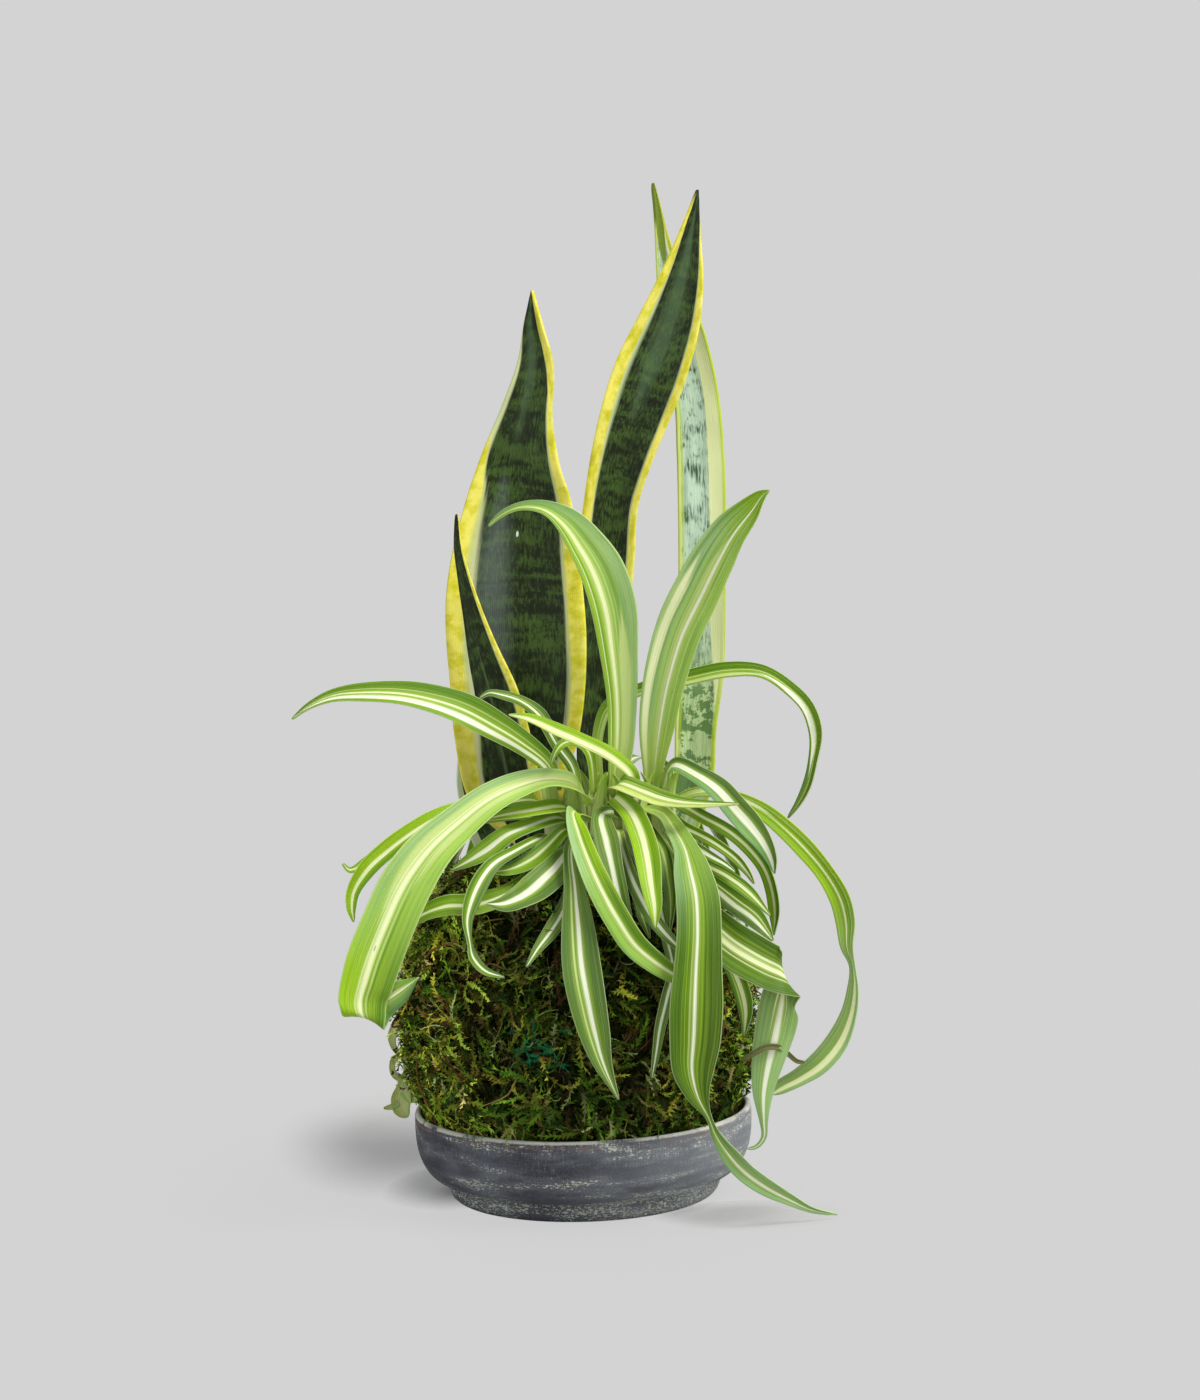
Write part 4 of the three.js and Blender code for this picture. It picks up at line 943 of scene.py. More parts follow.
# %% The spider plants' front leaves
# stem: its name, the leaf's height on it and the width there. folds: the line across the blade
# at some rows, where it turns over
SPIDER_LEAVES = [
    dict(stem=("b1", ON_TOP, 6), faces=((0.1, -0.95, 0.25), (0.25, -0.8, 0.6)),
     rows=[
        (21, -24, 200, 11), (22, -25, 221, 13), (21, -27, 243, 17), (19, -29, 262, 20.5),
        (14, -31, 278, 20.5), (7, -33, 290, 17.5), (0, -34, 299, 13), (-9, -35, 305, 7),
        (-19, -36, 306, 4), (-27, -37, 303, 2.5), (-33, -38, 298, 1)],
     paint=("fresh", "sky", [(-0.3, 0.17, "pale"), (-0.3, 0.08, "cream"),
               (0.02, 0.03, "pale"), (-0.75, 0.03, "cream"), (0.3, 0.3, "pale", -1, 0.3)],
               (0.6, "fresh", "blue"))),
    dict(stem=("c1", ON_TOP, 6), faces=((-0.1, -0.95, 0.3), (-0.3, -0.85, 0.45)),
     rows=[
        (37, -25, 208, 15), (41, -28, 229, 18.5), (48, -30, 251, 21), (56, -32, 267, 21.5),
        (64, -34, 282, 20), (71, -36, 293, 17), (79, -38, 302, 11.5), (84, -39, 308, 5),
        (87, -40, 310, 1)],
     paint=("sky", "lime", [(0.12, 0.2, "pale", -1, 0.6), (0.18, 0.05, "white"),
               (-0.66, 0.16, "cream", -1, 0.5), (0.55, 0.03, "pale")], (0.7, "fresh", "fresh"))),
    dict(stem=("a1", ON_TOP, 6), faces=((0, -0.8, 0.6),),
     rows=[
        (-10, -27, 193, 8), (-21, -37, 204, 12), (-34, -42, 213, 15), (-46, -45, 220, 15.5),
        (-59, -48, 225, 14), (-72, -50, 228, 12), (-89, -52, 229, 9), (-101, -53, 228, 6),
        (-111, -54, 224, 3), (-118, -54, 219, 1)],
     paint=("fresh", "leaf", [(-0.45, 0.2, "white"), (0.06, 0.07, "cream"), (0.42, 0.04, "pale")])),
    dict(stem=("b2", ON_TOP, 5), faces=((0, -0.8, 0.6),),
     rows=[
        (26, -39, 190, 6), (17, -45, 199, 7), (5, -51, 206, 6.5), (-7, -55, 212, 6),
        (-17, -58, 217, 4), (-26, -59, 219, 1)],
     paint=("cream", "bright", [(-0.35, 0.3, "cream"), (0.05, 0.05, "cream")])),
    dict(stem=("a2", ON_TOP, 5), faces=((0.3, -0.8, 0.5),),
     rows=[
        (0, -30, 193, 6.5), (-7, -42, 205, 7), (-13, -48, 217, 7), (-21, -53, 224, 5),
        (-29, -56, 227, 4), (-34, -57, 228, 2.5), (-38, -58, 226, 1)],
     paint=("deep", "grey", [(0, 0.16, "white"), (0.4, 0.04, "pale")])),
    dict(stem=("a3", ON_TOP, 4), faces=((0.5, -0.8, 0.3),),
     rows=[
        (8, -39, 198, 5), (5, -42, 203.5, 4.5), (0, -44, 205.5, 3.5), (-4, -46, 204.5, 3.5),
        (-7, -48, 201, 2.5), (-9, -49, 196, 1)],
     paint=("bright", "fresh", [(0, 0.2, "cream")])),
    dict(stem=("a3", 177, 6), faces=((0.25, -0.6, 0.75), (0.35, -0.85, 0.4), (0.4, -0.9, 0.1)),
     rows=[
        (1, -42, 187, 9), (-10, -47, 190, 10), (-22, -52, 188, 12), (-35, -60, 183, 14),
        (-48, -68, 174, 16), (-60, -76, 164, 19), (-70, -83, 151, 22), (-78, -89, 135, 22.5),
        (-84, -93, 121, 23), (-87, -95, 112, 22), (-89, -96, 105, 21), (-88.5, -97, 99.5, 19),
        (-87, -95.5, 97.5, 17), (-84, -93.5, 100, 14.5), (-79, -93, 104, 12), (-73, -93, 108, 9.5),
        (-65, -93, 114, 1)],
     folds={12: (-0.93, -0.2, 0.3), 13: (-0.93, 0, 0.37), 14: (-0.93, 0, 0.37), 15: (-0.85, 0, 0.53)},
     paint=("lime", "sky", [(0.34, 0.2, "pale", -1, 0.42), (-0.32, 0.16, "pale", -1, 0.36),
               (0.05, 0.1, "cream"), (0.24, 0.03, "cream"), (-0.2, 0.04, "pale")],
               (0.46, "leaf", "bright"), (0.85, "blue", "mint"))),
    dict(stem=("a1", 174, 5), faces=((0.1, -0.7, 0.7), (0.4, -0.8, 0.4)),
     rows=[
        (-17, -34, 180, 6), (-31, -45, 180, 5.5), (-46, -51, 179, 6.5), (-58, -57, 176, 7),
        (-69, -61, 170, 7.5), (-79, -64, 163, 8), (-87, -67, 156, 7.5), (-93, -69, 147, 5.5),
        (-94, -70, 140, 4), (-93, -70, 134, 1)],
     paint=("fresh", "bright", [(-0.15, 0.2, "cream")])),
    dict(stem=("a1", 169, 4), faces=((0.1, -0.7, 0.7),),
     rows=[
        (-23, -26, 172, 4.5), (-45, -33, 171, 5), (-62, -38, 168, 5), (-77, -42, 164, 4.5),
        (-88, -45, 157, 4.5), (-96, -46, 153, 3), (-99, -46, 156, 1)],
     paint=("fresh", "mint", [(0, 0.25, "cream")])),
    dict(stem=("a2", 174, 5), faces=((0, -0.7, 0.7),),
     rows=[
        (-5, -38, 177, 8), (-14, -45, 177, 7.5), (-24, -49, 176, 7), (-32, -52, 175, 4),
        (-38, -54, 174, 1)],
     paint=("bright", "fresh", [(0, 0.22, "cream")])),
    dict(stem=("a2", 169, 5), faces=((0.1, -0.75, 0.65),),
     rows=[
        (-7, -36, 172, 7), (-18, -46, 170, 7), (-28, -52, 167, 8.5), (-37, -57, 161, 9.5),
        (-45, -61, 157, 5.5), (-52, -64, 154, 1)],
     paint=("leaf", "fresh", [(0.05, 0.2, "white")])),
    dict(stem=("a2", 164, 5), faces=((0.1, -0.8, 0.6),),
     rows=[
        (-4, -40, 167, 5.5), (-11, -47, 161, 7), (-19, -53, 155.5, 8), (-29, -59, 152.5, 5),
        (-37, -62, 153, 1)],
     paint=("fresh", "leaf", [(0.1, 0.12, "cream")])),
    dict(stem=("a1", 163, 4), faces=((0.3, -0.85, 0.4), (0.7, -0.7, 0.1)),
     rows=[
        (-15, -43, 164, 4), (-25, -60, 161, 4.5), (-34, -71, 157, 6), (-39, -76, 151, 7.5),
        (-43, -80, 143, 7.5), (-45, -82, 135, 5), (-44, -83, 126, 2.5), (-43, -83, 120, 4.5),
        (-38, -83, 114, 3.5), (-30, -82, 111, 1)],
     paint=("grey", "leaf", [(0, 0.2, "white")])),
    dict(stem=("a2", 158, 5), faces=((0, -0.8, 0.6),),
     rows=[
        (-2, -45, 158.5, 7.5), (-8, -60, 152, 13.5), (-16, -68, 146, 14), (-23, -77, 143, 11),
        (-30, -80, 141, 7), (-37, -82, 142, 1)],
     paint=("grey", "grey", [(0.15, 0.2, "white")])),
    dict(stem=("a1", 158, 5), faces=((0, -0.85, 0.5),),
     rows=[
        (-14, -46, 152, 5.5), (-28, -58, 143, 8), (-42, -63, 139, 10), (-55, -66, 139, 9),
        (-66, -67, 135, 5.5), (-72, -67, 129, 1)],
     paint=("leaf", "fresh", [(0, 0.16, "cream")])),
    dict(stem=("a2", 154, 4), faces=((0, -0.95, 0.3),),
     rows=[
        (0, -52, 149, 5), (-4, -66, 138, 6.5), (-10, -73, 129, 6.5), (-16, -78, 122, 4),
        (-21, -82, 115, 1)],
     paint=("grey", "grey", [(0, 0.18, "white")])),
    dict(stem=("a3", 164, 6), faces=((0, -1, 0.1),),
     rows=[
        (-1, -57, 162, 6), (0, -72, 146, 9), (1, -78, 131, 13.5), (2, -84, 116, 16),
        (4, -88, 102, 15.5), (7, -90, 87, 12.5), (10, -91, 75, 7.5), (16, -92, 60, 1)],
     paint=("grey", "grey", [(-0.03, 0.12, "white"), (0.34, 0.05, "pale")])),
    dict(stem=("a3", 170, 6), faces=((0.1, -1, 0.2),),
     rows=[
        (0, -50, 176, 6.5), (2, -62, 168, 8.5), (6, -72, 157, 10), (11, -79, 146, 11),
        (17, -84, 135, 11), (24, -87, 124, 10.5), (33, -88, 116, 9), (42, -88, 110, 6),
        (51, -87, 106, 1)],
     paint=("bright", "sky", [(-0.05, 0.13, "cream"), (0.2, 0.04, "pale")], (0.4, "leaf", "mint"))),
    dict(stem=("b1", 170.5, 6), faces=((0, -1, 0.2),),
     rows=[
        (17, -34, 173.5, 5), (12, -48, 173, 8), (14, -60, 164, 10.5), (16, -68, 154, 9),
        (18, -74, 144, 8.5), (21, -79, 133, 5.5), (25, -82, 122, 1)],
     paint=("grey", "grey", [(0.05, 0.2, "white")])),
    dict(stem=("b1", 161, 5), faces=((0, -1, 0.2),),
     rows=[
        (20, -42, 160, 5), (23, -53, 153, 5.5), (26, -61, 143, 5), (28, -68, 133, 4),
        (31, -72, 124, 1)],
     paint=("deep", "dark", [(0, 0.12, "pale")])),
    dict(stem=("b1", 174.5, 6), faces=((0, -1, 0.2),),
     rows=[
        (18, -43, 181, 7), (25, -54, 175, 9.5), (29, -63, 166, 10.5), (31, -73, 157, 10.5),
        (32, -81, 147, 8.5), (33, -86, 139, 6), (33, -89, 131, 1)],
     paint=("fresh", "bright", [(0, 0.24, "cream"), (0.45, 0.04, "pale")])),
    dict(stem=("b2", 169, 5), faces=((0, -1, 0.2),),
     rows=[
        (31, -50, 168, 5), (37, -62, 160, 6), (39, -69, 150, 6), (40, -74, 139, 4), (39, -77, 127, 1)],
     paint=("deep", "grey", [(0, 0.12, "pale")])),
    dict(stem=("b1", 166, 5), faces=((-0.2, -1, 0.2),),
     rows=[
        (21, -56, 158, 5), (25, -71, 147, 6), (31, -79, 136, 6), (37, -84, 128, 5), (43, -86, 122, 3),
        (48, -87, 118, 1)],
     paint=("grey", "grey", [(0, 0.25, "white")])),
    dict(stem=("b2", 160, 5), faces=((0.2, -1, 0.1),),
     rows=[
        (35, -62, 139, 4.5), (38, -74, 124, 4.5), (40, -80, 112, 4.5), (37, -84, 100, 5),
        (34, -86, 89, 4.5), (32, -87, 78, 3), (30, -88, 68, 1)],
     paint=("grey", "grey", [(0, 0.22, "white")])),
    dict(stem=("b2", 175, 6), faces=((0, -1, 0.2), (0, -1, 0), (0.3, -0.9, -0.3)),
     rows=[
        (38, -44, 174, 6), (43, -56, 168, 8), (47, -68, 161, 10), (49, -78, 153, 15),
        (51, -86, 142, 18), (51, -91, 128, 18.5), (50, -94, 114, 20), (49, -96, 100, 22),
        (48, -96, 85, 21), (47, -95, 72, 17), (49, -94, 61, 9), (53, -93, 52, 2.5), (56, -92, 44, 4),
        (62, -88, 34, 7.5), (68, -82, 26, 8), (77, -76, 18, 7.5), (87, -70, 11, 5), (97, -66, 5, 2.5),
        (108, -62, 1.6, 1)],
     paint=("lime", "sky", [(0.06, 0.06, "white"), (0.24, 0.025, "pale"),
               (-0.2, 0.04, "fresh"), (0.42, 0.02, "fresh"), (0.06, 0.17, "white", 0.72, 9)],
               (0.24, "deep", "deep"), (0.7, "sky", "sky"))),
    dict(stem=("c2", ON_TOP, 5), faces=((-0.1, -0.7, 0.7), (-0.5, -0.8, 0.4)),
     rows=[
        (43, -33, 193, 7.5), (53, -46, 190, 8), (62, -52, 184, 10), (69, -58, 176, 10.5),
        (75, -62, 169, 10.5), (80, -65, 162, 8), (83, -66, 155, 5), (84, -66, 149, 1)],
     paint=("grey", "blue", [(0.05, 0.3, "white")])),
    dict(stem=("e1", ON_TOP, 5), faces=((0.3, -0.85, 0.4), (-0.3, -0.8, 0.5), (-0.8, -0.5, 0.2)),
     rows=[
        (11, -9, 203, 4.5), (16, -8, 217, 5.5), (30, -8, 224, 6), (52, -10, 229, 7.5),
        (69, -12, 232, 7.5), (84, -15, 231, 6), (96, -18, 223, 6), (103, -21, 215, 6),
        (106, -24, 204, 6.5), (104, -28, 192, 5), (101, -31, 182, 5.5), (97, -33, 175, 4),
        (92, -34, 169, 1.5)],
     paint=("leaf", "leaf", [(0.62, 0.24, "pale", -1, 0.45),
               (0.4, 0.34, "white", 0.5, 0.76), (0, 0.05, "pale")], (0.74, "dark", "grey"))),
    dict(stem=("c1", 172, 5), faces=((-0.1, -0.7, 0.7), (-0.4, -0.9, 0.2), (-0.2, -1, 0)),
     rows=[
        (46, -20, 177, 5), (57, -30, 181, 5.5), (69, -41, 179, 6), (80, -46, 174, 7),
        (89, -51, 167, 8), (98, -55, 158, 8.5), (106, -58, 148, 8), (112, -61, 137, 9),
        (114, -63, 127, 8.5), (114, -65, 117, 5.5), (116, -66, 109, 2.5), (116, -67, 99, 5),
        (114, -68, 89, 7), (109, -69, 78, 9.5), (101, -70, 69, 9.5), (92, -70, 63, 7.5),
        (84, -70, 59, 6), (80, -70, 56, 2)],
     paint=("bright", "bright", [(-0.2, 0.42, "cream", -1, 0.2), (0.02, 0.08, "cream", 0.26, 0.56),
               (-0.6, 0.03, "cream"), (-0.3, 0.26, "cream", 0.62, 9)], (0.52, "sky", "dull"))),
    dict(stem=("c2", 154, 6),
     faces=((-0.1, -0.75, 0.65), (-0.1, -0.75, 0.65), (-0.05, -0.85, 0.5), (0, 1, 0), (0, 1, 0), (0, 1, 0)),
     rows=[
        (43, -50, 150, 6), (48, -64, 140, 10.5), (54, -75, 131, 17), (63, -83, 122.5, 20),
        (72, -88, 117, 20.5), (79, -91, 113.5, 20), (84.5, -92.5, 111, 19.5), (86.5, -91, 108.5, 19),
        (85.5, -89, 104, 18), (84, -88.5, 97, 18.5), (81, -88, 84, 16.5), (78, -87.5, 72, 13),
        (76, -87, 60, 8.5), (76, -87, 49, 3.5), (76, -87, 42, 2), (73, -87, 38, 1.5), (69, -87, 37, 1)],
     folds={7: (0.1, -0.4, -0.9), 8: (0.41, 0, -0.91), 9: (0.41, 0, -0.91), 10: (0.8, 0, -0.6)},
     paint=("deep", "deep", [(0.02, 0.12, "cream"), (-0.26, 0.05, "cream", -1, 0.6),
               (0.3, 0.03, "cream", -1, 0.6), (0.05, 0.16, "white", 0.6, 9)], (0.58, "sky", "sky"))),
    dict(stem=("c2", 149, 5), faces=((-0.1, -1, 0.1),),
     rows=[
        (46, -54, 142, 4), (54, -67, 127, 4.5), (63, -74, 115, 6), (68, -77, 104, 7), (70, -79, 94, 6),
        (69, -80, 83, 1)],
     paint=("leaf", "leaf", [(0, 0.25, "cream"), (0.5, 0.05, "pale")])),
    dict(stem=("c2", 177, 5), faces=((-0.2, -0.8, 0.55), (-0.7, -0.7, 0.1)),
     rows=[
        (47, -39, 176, 5), (55, -48, 172, 5.5), (66, -53, 166, 5.5), (74, -57, 159, 5.5),
        (80, -60, 151, 5.5), (83, -62, 142, 6), (84, -64, 132, 5.5), (83, -66, 123, 1)],
     paint=("leaf", "fresh", [(0, 0.2, "cream")])),
    dict(stem=("c2", 172.5, 4), faces=((-0.2, -0.8, 0.55), (-0.5, -0.8, 0.2)),
     rows=[
        (47, -49, 168, 4.5), (56, -58, 164, 4.5), (63, -65, 160, 4), (69, -69, 155, 4),
        (73, -72, 150, 2.5), (75, -73, 146, 1)],
     paint=("leaf", "leaf", [(0, 0.24, "cream")])),
    dict(stem=("c2", 168.5, 4), faces=((-0.2, -0.8, 0.55),),
     rows=[
        (42, -52, 165.5, 3.5), (50, -64, 162, 4), (57, -71, 158, 4), (63, -76, 155, 2.5),
        (67, -78, 152, 1)],
     paint=("grey", "leaf", [(0, 0.35, "white")])),
    dict(stem=("c2", 164.5, 4), faces=((-0.2, -0.8, 0.55),),
     rows=[
        (46, -56, 157.5, 4), (55, -67, 154, 5), (65, -75, 149, 5.5), (73, -80, 143, 5),
        (81, -83, 134, 1)],
     paint=("leaf", "leaf", [(0, 0.24, "cream"), (-0.5, 0.04, "pale")])),
    dict(stem=("c2", 160, 5), faces=((-0.2, -0.85, 0.5),),
     rows=[
        (48, -56, 151.5, 5), (57, -66, 146, 7), (67, -73, 138, 9.5), (75, -77, 132, 8.5),
        (80, -79, 126, 4), (82, -80, 123, 1)],
     paint=("leaf", "grey", [(0.15, 0.18, "white"), (-0.35, 0.06, "cream")])),
    dict(stem=("b1", 179, 4), faces=((0, -0.7, 0.7),),
     rows=[
        (20, -46, 187, 9), (29, -52, 184, 9), (37, -56, 181, 8.5), (47, -60, 179.5, 5.5),
        (57, -62, 179, 3.5), (70, -64, 179, 1)],
     paint=("leaf", "cream", [(-0.1, 0.18, "cream"), (-0.5, 0.04, "pale")])),
]
print("rows of the longest leaf:", max(len(leaf["rows"]) for leaf in SPIDER_LEAVES))

# %% Grow the spider plants' front leaves
for number, leaf in enumerate(SPIDER_LEAVES, 1):
    stem, height, width = leaf["stem"]
    blade = grow_spider_leaf(f"spider_leaf_{number:02d}", stem, height, width, leaf["faces"],
                             leaf["rows"], leaf.get("folds", {}), leaf["paint"], 20 + number)
print("front leaves:", len(SPIDER_LEAVES), "faces on the last:", len(blade.data.polygons))

# %% [markdown]
# Behind the snake plant a second, smaller clump fills the back of the ball. Its eight leaves
# are arched by a rule: out along a heading, up to a rise and down past the ball's shoulder.

# %% Grow the rear clump's leaves
# share of the reach, share of the rise or of a third of the drop, and share of the width
REAR_ARCH = [(0.12, 0.75, 0.75), (0.3, 1, 0.9), (0.5, 0.75, 1), (0.7, -0.1, 1), (0.86, -1.1, 0.85),
             (0.96, -2.1, 0.5), (1, -3, 0.1)]
# stem, height on it, width at the base, heading in degrees, reach, rise, drop and width
REAR_LEAVES = [
    ("d1", ON_TOP, 6, 128, 95, 26, 62, 13), ("d1", 158, 6, 160, 70, 10, 58, 12),
    ("d1", 152, 6, 104, 62, 6, 80, 13), ("d1", 146, 5, 138, 50, 2, 60, 11),
    ("d2", ON_TOP, 6, 56, 92, 24, 66, 13), ("d2", 158, 6, 22, 66, 10, 56, 12),
    ("d2", 152, 6, 80, 66, 8, 88, 14), ("d2", 146, 5, 46, 52, 2, 64, 11),
]
REAR_PAINTS = [
    ("leaf", "fresh", [(0, 0.16, "white"), (0.4, 0.03, "pale")]), ("fresh", "leaf", [(0.1, 0.24, "cream")]),
    ("grey", "leaf", [(-0.05, 0.22, "white"), (0.5, 0.05, "cream")]),
]


def arched_rows(root, turn, reach, rise, drop, width):
    """Rows that run out from the root, up by the rise and down by the drop."""
    rows = []
    for out, high, wide in REAR_ARCH:
        height = high * rise if high > 0 else high / 3 * drop
        rows.append((root[0] + math.cos(turn) * reach * out, root[1] + math.sin(turn) * reach * out,
                     root[2] + height, width * wide))
    return rows


for number, (stem, height, foot, degrees, reach, rise, drop, width) in enumerate(REAR_LEAVES, 1):
    turn = math.radians(degrees)
    out = math.cos(turn), math.sin(turn)
    x, y = REAR_STEMS[stem]
    faces = ((-out[0], -out[1], 1.2), (out[0] * 0.6, out[1] * 0.6, 0.8), (out[0], out[1], 0))
    root, _ = leaf_base(stem, height, foot, faces[0], (x + out[0], y + out[1], REAR_STEM_TOP + 3))
    rows = arched_rows(root, turn, reach, rise, drop, width)
    grow_spider_leaf(f"rear_leaf_{number}", stem, height, foot, faces, rows, {},
                     REAR_PAINTS[number % len(REAR_PAINTS)], 70 + number)
print("rear leaves:", len(REAR_LEAVES))

# %% [markdown]
# ## The crowns
# A spider plant's leaves spring from short fleshy stems, each wrapped in the pale bases
# of its older leaves. A stem is a circle raised ring by ring, as the saucer was, and
# its wrapping is three short blades whose edges curl round it.

# %% Raise stems and wrap them
STEM_FOOT_RADIUS = 3.9
# radius and height of each ring, for a stem of the height of the last one
STEM_RINGS = [(4.3, 3), (4.4, 10), (4.0, 22), (3.6, 32), (3.3, 39), (2.4, 41.3), (0.4, 42)]
WRAPS_PER_STEM = 3
# reach from the stem's axis, share of the stem's height, width
WRAP_ROWS = [(4.3, 0.02, 8), (4.7, 0.3, 9.5), (5.0, 0.62, 9), (5.6, 0.9, 7), (7.4, 1.12, 4), (9.4, 1.24, 1)]


def join(parts, name):
    """Several meshes as one, under a new name."""
    deselect()
    for part in parts:
        part.select_set(True)
    bpy.context.view_layer.objects.active = parts[0]
    bpy.ops.object.join()
    parts[0].name = name
    return parts[0]


def plain_blade(name, rows, face, spans, keel, thickness, seed):
    """A blade with the same finish on both sides."""
    blade = new_leaf(name, rows, (face,), {}, spans, keel, thickness, ripple=0, waves=0, seed=seed)
    blade.modifiers["thickness"].material_offset = 0
    apply_modifiers(blade)
    return blade


def wrapped_stem(name, x, y, foot, top, seed):
    """One stem with its wrapping, from its foot in the soil to its top."""
    draw = np.random.default_rng(seed)
    tall = (top - foot) / STEM_RINGS[-1][1]
    parts = [new_disc(name, 12, STEM_FOOT_RADIUS, (x, y, foot))]
    raise_rings(STEM_FOOT_RADIUS, foot, [(r, foot + h * tall) for r, h in STEM_RINGS], (x, y))
    start = draw.uniform(0, 2 * math.pi)
    for number in range(WRAPS_PER_STEM):
        turn = start + number * 2 * math.pi / WRAPS_PER_STEM + draw.uniform(-0.3, 0.3)
        way = np.array([math.cos(turn), math.sin(turn)])
        rows = [(x + way[0] * reach, y + way[1] * reach, foot + (top - foot) * share, wide)
                for reach, share, wide in WRAP_ROWS]
        parts.append(plain_blade(name, rows, (-way[0], -way[1], 0.1), spans=6, keel=0.75, thickness=0.5,
                                 seed=seed + number))
    return join(parts, name)


base_finish, shader, _, v, veins = leaf_skin("pale_leaf_bases", 8.0, 5.0, sheen=0.4, glow=0.1, depth=0.002)
base = blend(between(v, 0.25, 0.95), "#e4eaa6", "#a0c63c")
base = blend(between(veins["Lines"], 0.5, 0.68) * 0.5, base, "#6f9440")
base = blend(between(v, 0.2, 0.0) * 0.6, base, "#6b5a34")
finish_with(shader, base, 0.4 + veins["Mottle"] * 0.2, veins["Height"], 0.00015)

# name, stems, and the height of their feet and tops
CROWNS = [("spider_crown", STEMS, 138, STEM_TOP), ("rear_crown", REAR_STEMS, 124, REAR_STEM_TOP)]
for name, stems, foot, top in CROWNS:
    parts = [wrapped_stem(name, x, y, foot, top, 90 + 7 * order)
             for order, (x, y) in enumerate(stems.values())]
    crown = join(parts, name + "_stems")
    round_off(crown)
    crown.data.materials.append(base_finish)
    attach(crown, "root")
    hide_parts(name)
    print(crown.name, "faces:", len(crown.data.polygons))

# %% [markdown]
# ## Two scraps
# The tip of a leaf has dried and curled between the two hanging leaves on the right, and a pale
# wet scrap clings to the ball's left edge and hangs over the rim, with a loop in it. Both are
# made of blades, as the leaves are.

# %% Curl the dry tip and the pale scrap
# rows as in the leaf tables: place and width in millimetres
DRY_TIP = [(67, -89, 75, 0.9), (71, -90.5, 77, 1.6), (77, -91, 80.2, 2.0), (83, -88, 79.6, 1.8),
           (87.5, -84, 75.4, 1.5), (91, -79, 71.6, 1.3), (94.5, -76, 70.6, 0.9)]
SCRAP_LOOP = [(-80.3 + 3.3 * math.sin(turn), -9 - 0.6 * math.cos(turn), 60 + 5.4 * math.cos(turn), 2.6)
              for turn in np.linspace(0, 2 * math.pi, 9)]
SCRAP_BANDS = [
    SCRAP_LOOP,
    [(-74, -14, 82, 2), (-80, -11, 79, 4.5), (-83, -9, 74, 4), (-82.5, -9, 69, 2.6), (-79.5, -9, 65, 2.4)],
    [(-78.5, -9, 56, 3), (-78.5, -9, 51.5, 6), (-79.5, -9, 46, 9.5), (-79.5, -9.5, 41, 8),
     (-77.5, -10, 37.5, 3.5)],
    [(-81, -9, 44, 2.4), (-84, -9, 42.4, 2.6), (-88, -8.5, 41.6, 1)],
    [(-79.5, -8.5, 50, 5), (-76, -9.5, 49, 9), (-71, -11, 48, 8)],
]


def scrap_finish(name, thick, thin):
    """Thin where the mottling is low, as wet or dried tissue is, and thick at the edges."""
    material, shader, u, _, veins = leaf_skin(name, 4.0, 8.0, sheen=0.4, glow=0.25, depth=0.002)
    edge = between(maths("ABSOLUTE", u), 0.4, 0.95)
    base = blend(edge * 0.45 + veins["Mottle"] * 0.5, thin, thick)
    finish_with(shader, base, 0.35 + veins["Mottle"] * 0.2, veins["Height"], 0.0002)
    return material


dry_tip = plain_blade("dry_leaf_tip", DRY_TIP, (0, -1, 0.2), spans=4, keel=0.9, thickness=0.6, seed=51)
bands = [plain_blade("scrap_band", rows, (-0.3, -1, 0.1), spans=6, keel=0.35, thickness=0.5, seed=seed)
         for seed, rows in enumerate(SCRAP_BANDS, 52)]
pale_scrap = join(bands, "pale_scrap")
dried = scrap_finish("dried_tissue", "#4c4f22", "#7d8448")
wet = scrap_finish("wet_tissue", "#86a02e", "#b6c282")
for scrap, slot, finish in ((dry_tip, "spider_plant_leaf", dried), (pale_scrap, "moss", wet)):
    round_off(scrap)
    scrap.data.materials.append(finish)
    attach(scrap, "root")
    print(scrap.name, "faces:", len(scrap.data.polygons))

# %% [markdown]
# ## Soil
# The packed soil core has the right shape and stays. It gets a crumbly dark finish, and
# loose crumbs lie on it in the mouth of the moss, where the stems go in.

# %% Soil finish and crumbs
soil_finish, shader = new_material("damp_soil", Specular_IOR_Level=0.25)
spot = place_on()
crumbs = cloud(spot, 420, 6.0, 0.7)
base = blend(between(crumbs, 0.35, 0.7), "#1d140c", "#5a4630")
base = blend(cloud(spot, 60) * 0.4, base, "#20170f")
finish_with(shader, base, 0.75 + crumbs * 0.2, crumbs, 0.0012)
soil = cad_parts["soil_core"]
soil.data.materials.clear()
soil.data.materials.append(soil_finish)

# the ball's middle and the mouth of the moss, in millimetres
BALL_X = -3
SOIL_TOP = 148
MOUTH_RADIUS = 38
CRUMBS = 420
CRUMB_SHAPES = 8
UPRIGHT = np.array([0, 0, 1.0])


def copies(name, shapes, faces, which, roots, sides, aheads, ups, sizes):
    """Copies of a few small shapes, placed and turned, as one mesh."""
    local = shapes[which] * sizes[:, None, None]
    places = (roots[:, None, :] + sides[:, None, :] * local[:, :, :1]
              + aheads[:, None, :] * local[:, :, 1:2] + ups[:, None, :] * local[:, :, 2:])
    count, points = local.shape[:2]
    corners = faces[None, :, :] + (np.arange(count) * points)[:, None, None]
    mesh = bpy.data.meshes.new(name)
    mesh.from_pydata(places.reshape(-1, 3) * MM, [], corners.reshape(-1, faces.shape[1]))
    made = bpy.data.objects.new(name, mesh)
    bpy.context.scene.collection.objects.link(made)
    mesh.shade_smooth()
    return made


def level_ways(turn):
    """The level directions outwards and onwards at some turns round a middle, one row each."""
    flat = np.zeros(len(turn))
    outwards = np.column_stack([np.cos(turn), np.sin(turn), flat])
    return outwards, np.column_stack([-np.sin(turn), np.cos(turn), flat])


